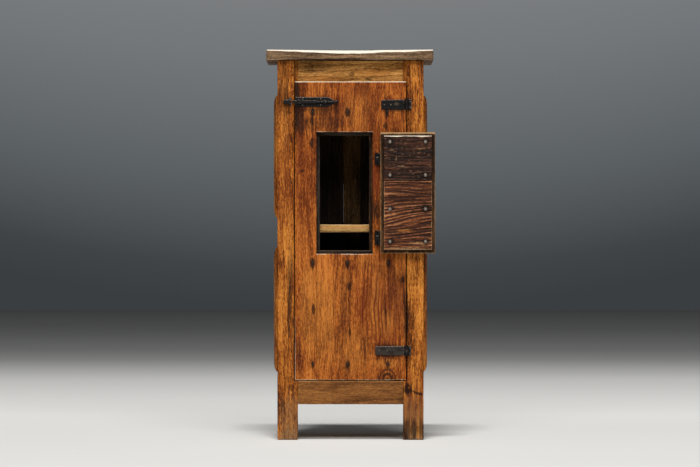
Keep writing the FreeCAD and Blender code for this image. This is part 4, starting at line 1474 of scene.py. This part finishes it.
    def door_wear_and_highlight(self, place: Vector) -> float:
        """Return how pale the door's edges are painted: a painted highlight along its head, where light from
        above catches it, most; its low left and the opening, rubbed, less.

        Args:
            place: The place on the sound plank.

        Returns:
            From 0 for not pale to 1 for fully pale.
        """
        low, high = box_of("door_left_plank")
        back = (place.y - low.y) / MM
        head = min(max(0.5, 1.2 - back / 8), ((place.z - high.z) / MM + 3.4) / 1.6)
        below = clamp((self.rubbed_below_mm - place.z / MM) / self.rub_fade_mm)
        left = below * (0.7 - (place.x - low.x) / MM / 7 - back / 9)
        right = 0.0
        stop_low, stop_high = box_of("hatch_right_stop")
        if stop_low.z < place.z < stop_high.z:
            right = 0.7 - abs(place.x - stop_high.x) / MM / 8
        return max(0.0, head, left, right)


@dataclass
class Hatch:
    """The little door in the door: an outer board, two boards across it, nails, leaves and knob.

    Attributes:
        outer: How the outer board is worked.
        nail_columns_mm: Places of the nails across the hatch.
        nail_rows_mm: Heights of the nails.
        lower_relief: Raised grain of the lower board across.
        upper_relief: Raised grain of the upper board across.
        knob_profile: Outline of the knob, as shares of its radius and its length.
        knob_steps: Number of facets round the knob.
    """

    outer: Tooling = Tooling(arris=2.2, cell=(8.0, 8.0, 10.0), uneven=0.9, chip=4.0, rub=4.6)
    nail_columns_mm: tuple[float, ...] = (137.0, 255.0)
    nail_rows_mm: tuple[float, ...] = (675.0, 787.0, 900.0, 1012.0)
    lower_relief: Relief = Relief(
        spacing=11.5, depth=1.6, drift=12.0, sharp=1.7,
        sweep=0.24, sweep_at=(195.0, 748.0), sweep_reach=58.0, calm=0.5,
    )
    upper_relief: Relief = Relief(spacing=14.0, depth=0.8, drift=22.0)
    knob_profile: tuple[tuple[float, float], ...] = (
        (0.0, 1.0), (0.45, 0.99), (0.8, 0.9), (0.97, 0.72), (0.9, 0.58), (0.6, 0.5), (0.45, 0.36), (0.47, 0.0)
    )
    knob_steps: int = 28

    def build(self) -> Pieces:
        """Build every piece of the hatch.

        Returns:
            The pieces, one by one.
        """
        yield wooden("hatch_outer_board", RIM_PINE, Cut(pith_mm=(20, 70)), self.outer, rub=self.rim_pale_and_highlight)
        yield from self.build_inner()
        yield forged("hatch_leaves")
        yield forged_nails("hatch_nails", NAIL_IRON)
        yield self.build_knob()

    def build_inner(self) -> Pieces:
        """Build the two boards across the inner side, with raised grain, scratches and smoke.

        Returns:
            The boards.
        """
        nails = [(x, z, 17, 15, 0.85) for x in self.nail_columns_mm for z in self.nail_rows_mm]
        marks = marks_of({
            Stain.GOLD: [(185, 712, 40, 7, 0.4)],
            Stain.SMOKE_AND_SHADE: [
                (190, 850, 90, 20, 0.5), (195, 832, 110, 44, 0.65), (140, 706, 36, 12, 0.6),
                (250, 866, 40, 14, 0.5),
            ],
            Stain.IRON: [(165, 692, 14, 5, 0.6), (212, 716, 16, 5, 0.6), *nails],
            Stain.BARE: [
                (141, 985, 8, 3, 0.45), (155, 958, 3, 11, 0.45), (170, 930, 16, 3, 0.4),
                (236, 990, 22, 3, 0.35), (200, 652, 90, 4, 0.8), (235, 668, 45, 5, 0.65),
            ],
        })
        upper = (SOOTED_PINE, self.upper_relief, (40, 60), (UP,), self.head_highlight)
        lower = (SMOKED_PINE, self.lower_relief, (-60, 70), (UP, DOWN, LEFT, RIGHT), None)
        for level, (finish, relief, pith, facing, rub) in (("upper", upper), ("lower", lower)):
            tooling = Tooling(
                arris=1.8, cell=(7.0, 6.5, 1.6), uneven=0.6, chip=3.0, rub=4.5, pale=0.75, facing=facing,
                relief=relief,
            )
            cut = Cut(Grain.ACROSS, pith)
            yield wooden(f"hatch_{level}_inner_board", finish, cut, tooling, marks, rub=rub)

    def rim_pale_and_highlight(self, place: Vector) -> float:
        """Return how pale the rim of the outer board is painted: a painted highlight along its head, where
        light from above catches it, most; then paler lines at its right and its foot.

        Args:
            place: The place on the sound board.

        Returns:
            From 0 for not pale to 1 for fully pale.
        """
        low, high = (corner / MM for corner in box_of("hatch_outer_board"))
        at = place / MM
        ragged = 1.4 * noise.noise(Vector((place.x * 30.0, place.z * 30.0, 4.4)))
        front = max(0.0, 1.0 - (at.y - low.y) / 8)
        head = (at.z - high.z + 5.5 + ragged) / 2
        right = (at.x - high.x + 3.6 + ragged) / 4
        foot = (low.z + 3.6 + ragged - at.z) / 4
        return front * min(1.1, max(0.0, head, right, foot))

    def head_highlight(self, place: Vector) -> float:
        """Return how strong the painted highlight is along the upper edge of the upper board, where light
        from above catches it.

        Args:
            place: The place on the sound board.

        Returns:
            From 0 for none to 1 for the full highlight.
        """
        low, high = box_of("hatch_upper_inner_board")
        reach = 4.6 + 3.4 * noise.noise(Vector((place.x * 35.0, 0.0, 2.1)))
        most = max(0.5, 1.3 - (place.y - low.y) / MM / 8)
        return min(most, max(0.0, ((place.z - high.z) / MM + reach) / 2.5))

    def build_knob(self) -> Object:
        """Turn the knob on the outer face.

        Returns:
            The knob.
        """
        low, high = box_of("hatch_knob")
        middle = (low + high) / 2
        radius = (high.x - low.x) / 2
        length = high.y - box_of("hatch_outer_board")[1].y
        root = length - (high.y - low.y)
        outline = [(out * radius, 0, up * length) for out, up in self.knob_profile]
        bm = bmesh.new()
        verts = [bm.verts.new(point) for point in (*outline, (outline[-1][0], 0, root), (0, 0, root))]
        edges = [bm.edges.new(pair) for pair in zip(verts, verts[1:])]
        full = {"cent": (0, 0, 0), "axis": (0, 0, 1), "angle": 2 * math.pi, "use_merge": True}
        bmesh.ops.spin(bm, geom=verts + edges, steps=self.knob_steps, **full)
        bmesh.ops.remove_doubles(bm, verts=bm.verts, dist=MERGE_MM * MM)
        bmesh.ops.recalc_face_normals(bm, faces=bm.faces)
        arris_layer = bm.verts.layers.float.new("arris")
        for vert in bm.verts:
            vert[arris_layer] = max(0.0, vert.co.z / length)
        seat = Matrix.Translation((middle.x, high.y - length, middle.z))
        bmesh.ops.transform(bm, matrix=seat @ Matrix.Rotation(-math.pi / 2, 4, "X"), verts=bm.verts)
        material = SMOKED_PINE.material("hatch_knob", middle, Cut(Grain.BACKWARD, (12, 8)))
        return dress(piece_from(bm, "turned_hatch_knob"), "hatch_knob", material)


@dataclass
class Bolt:
    """The sliding bar of the bolt.

    Attributes:
        node: The solid that it stands for.
    """

    node: str = "bolt_bar"

    def build(self) -> Pieces:
        """Build the bar."""
        yield forged(self.node)


@dataclass
class Studio:
    """Floor, wall, lamps and camera, with lengths in metres.

    Attributes:
        floor_falloff_colours: Whites and greys of the floor, from the front to the wall: painted light,
            brightest a little behind the cupboard and falling off towards the wall.
        floor_fade: Where they start and end, behind the cupboard's middle.
        floor_cloud: Width of the places where the floor's sheen differs.
        wall_colours: Greys of the glowing wall, from its foot up: painted light, dark at the foot and lighter
            above.
        wall_fade: Height over which it fades.
        wall_bow: How much sooner it fades at the sides, for a metre squared.
        wall_y: How far behind the cupboard the wall stands.
        half: Half the width of floor and wall.
        lamps: Name, place, size and power in watts of each lamp.
        target: What the lamps face.
        air: Colour and strength of the light from all round.
        eye_z: Height of the lens.
        eye_x: Place of the lens across.
        reach: Distance from the lens to the front of the cupboard.
        pixel: Size of one pixel on that front.
        pixels: Number of pixels across the picture.
    """

    floor_falloff_colours: Shades = (
        (0.0, "#d6d5d1"), (0.13, "#e2e1dd"), (0.19, "#edece8"), (0.27, "#ecebe8"), (0.41, "#e4e3e0"),
        (0.49, "#cecdcb"), (0.59, "#ababa9"), (0.7, "#969695"), (1.0, "#878787"),
    )
    floor_fade: tuple[float, float] = (-1.2, 12.8)
    floor_cloud: float = 1.43
    wall_colours: Shades = (
        (0.0, "#3b3e41"), (0.12, "#414447"), (0.4, "#5b6063"), (0.8, "#73777a"), (1.0, "#7c7e80")
    )
    wall_fade: float = 2.9
    wall_bow: float = 0.035
    wall_y: float = 19.0
    half: float = 32.0
    lamps: tuple[tuple[str, Point, tuple[float, float], float], ...] = (
        ("high_softbox", (-0.4, -5.5, 13.7), (3.2, 1.2), 1600.0),
        ("front_softbox", (0.6, -9.6, 7.45), (10.0, 3.6), 800.0),
    )
    target: Point = (0.0, 0.0, 0.7)
    air: tuple[str, float] = ("#f4f6f8", 0.135)
    eye_z: float = 0.702
    eye_x: float = -0.0017
    reach: float = 11.3
    pixel: float = 0.0034
    pixels: int = 700

    def build(self) -> None:
        """Build the whole studio."""
        self.build_floor()
        self.build_light()
        self.build_camera()

    def floor_paint(self) -> Material:
        """Make the matt floor paint, with a faint unevenness in its sheen, and painted light that falls off
        towards the wall.

        Returns:
            The material.
        """
        made, add, place = start("matt_floor_paint")
        cloud = add("TexNoise", {"Vector": place, "Scale": 1 / self.floor_cloud, "Detail": 3.0})
        rough = add("MapRange", (cloud, 0.3, 0.7, 0.75, 0.9))
        back = add("SeparateXYZ", (place,), out="Y")
        share = add("MapRange", (back, *self.floor_fade))
        white = add("ValToRGB", (share,), ramp=self.floor_falloff_colours)
        look = {"Base Color": white, "Roughness": rough, "Specular IOR Level": 0.2}
        feed(made.node_tree.nodes["Principled BSDF"], look)
        return made

    def wall_paint(self) -> Material:
        """Make the wall: a glow of painted light that fades from light above to dark at its foot, seen by the
        camera and in reflections, and lighting nothing else.

        Returns:
            The material.
        """
        made, add, place = start("glowing_backdrop")
        up = add("SeparateXYZ", (place,), out="Z")
        side = add("SeparateXYZ", (place,), out="X")
        side = add("Math", (side, 2.0), operation="POWER")
        bowed = add("Math", (side, -self.wall_bow, up), operation="MULTIPLY_ADD")
        share = add("MapRange", (bowed, 0.0, self.wall_fade))
        grey = add("ValToRGB", (share,), ramp=self.wall_colours)
        seen = add("LightPath", out="Is Camera Ray")
        for ray in ("Is Glossy Ray", "Is Transmission Ray"):
            seen = add("Math", (seen, add("LightPath", out=ray)), operation="MAXIMUM")
        nodes = made.node_tree.nodes
        nodes.remove(nodes["Principled BSDF"])
        feed(nodes["Material Output"], {"Surface": add("Emission", {"Color": grey, "Strength": seen})})
        return made

    def build_floor(self) -> None:
        """Lay the floor and stand the wall behind it."""
        upright = Matrix.Translation((0, self.wall_y, self.half)) @ Matrix.Rotation(math.pi / 2, 4, "X")
        for name, paint, turn in (
            ("studio_floor", self.floor_paint(), Matrix()),
            ("studio_wall", self.wall_paint(), upright),
        ):
            bm = bmesh.new()
            bmesh.ops.create_grid(bm, x_segments=2, y_segments=2, size=self.half, matrix=turn)
            piece = piece_from(bm, name)
            piece.data.materials.append(paint)

    def build_light(self) -> None:
        """Hang one lamp high in front and a wide soft one half as high."""
        for name, place, size, power in self.lamps:
            data = bpy.data.lights.new(name, "AREA")
            data.shape, data.size, data.size_y, data.energy = "RECTANGLE", *size, power
            lamp = bpy.data.objects.new(name, data)
            lamp.location = place
            lamp.rotation_euler = (Vector(self.target) - Vector(place)).to_track_quat("-Z", "Y").to_euler()
            bpy.context.scene.collection.objects.link(lamp)
        world = bpy.data.worlds.new("studio_air")
        bpy.context.scene.world = world
        world.use_nodes = True
        colour, strength = self.air
        feed(world.node_tree.nodes["Background"], {"Color": linear(colour), "Strength": strength})

    def build_camera(self) -> None:
        """Set the camera level and square to the front, as the photograph was taken."""
        front = box_of("front_left_post")[0].y
        data = bpy.data.cameras.new("level_camera")
        data.sensor_width = 36.0
        data.sensor_fit = "HORIZONTAL"
        data.lens = data.sensor_width * self.reach / (self.pixels * self.pixel)
        data.clip_end = 200.0
        camera = bpy.data.objects.new("level_camera", data)
        camera.location = (self.eye_x, front - self.reach, self.eye_z)
        camera.rotation_euler = (math.pi / 2, 0, 0)
        bpy.context.scene.collection.objects.link(camera)
        bpy.context.scene.camera = camera


def main() -> None:
    """Build the cupboard and its studio, and log each piece with its number of faces."""
    logging.basicConfig(level=logging.INFO, format="%(name)s %(message)s")
    bpy.context.scene.view_settings.view_transform = "Standard"
    for assembly in (Carcase(), Door(), Hatch(), Bolt()):
        for piece in assembly.build():
            log.info("%s in %s, %d faces", piece.name, type(assembly).__name__, len(piece.data.polygons))
    Studio().build()


if __name__ == "__main__":
    main()
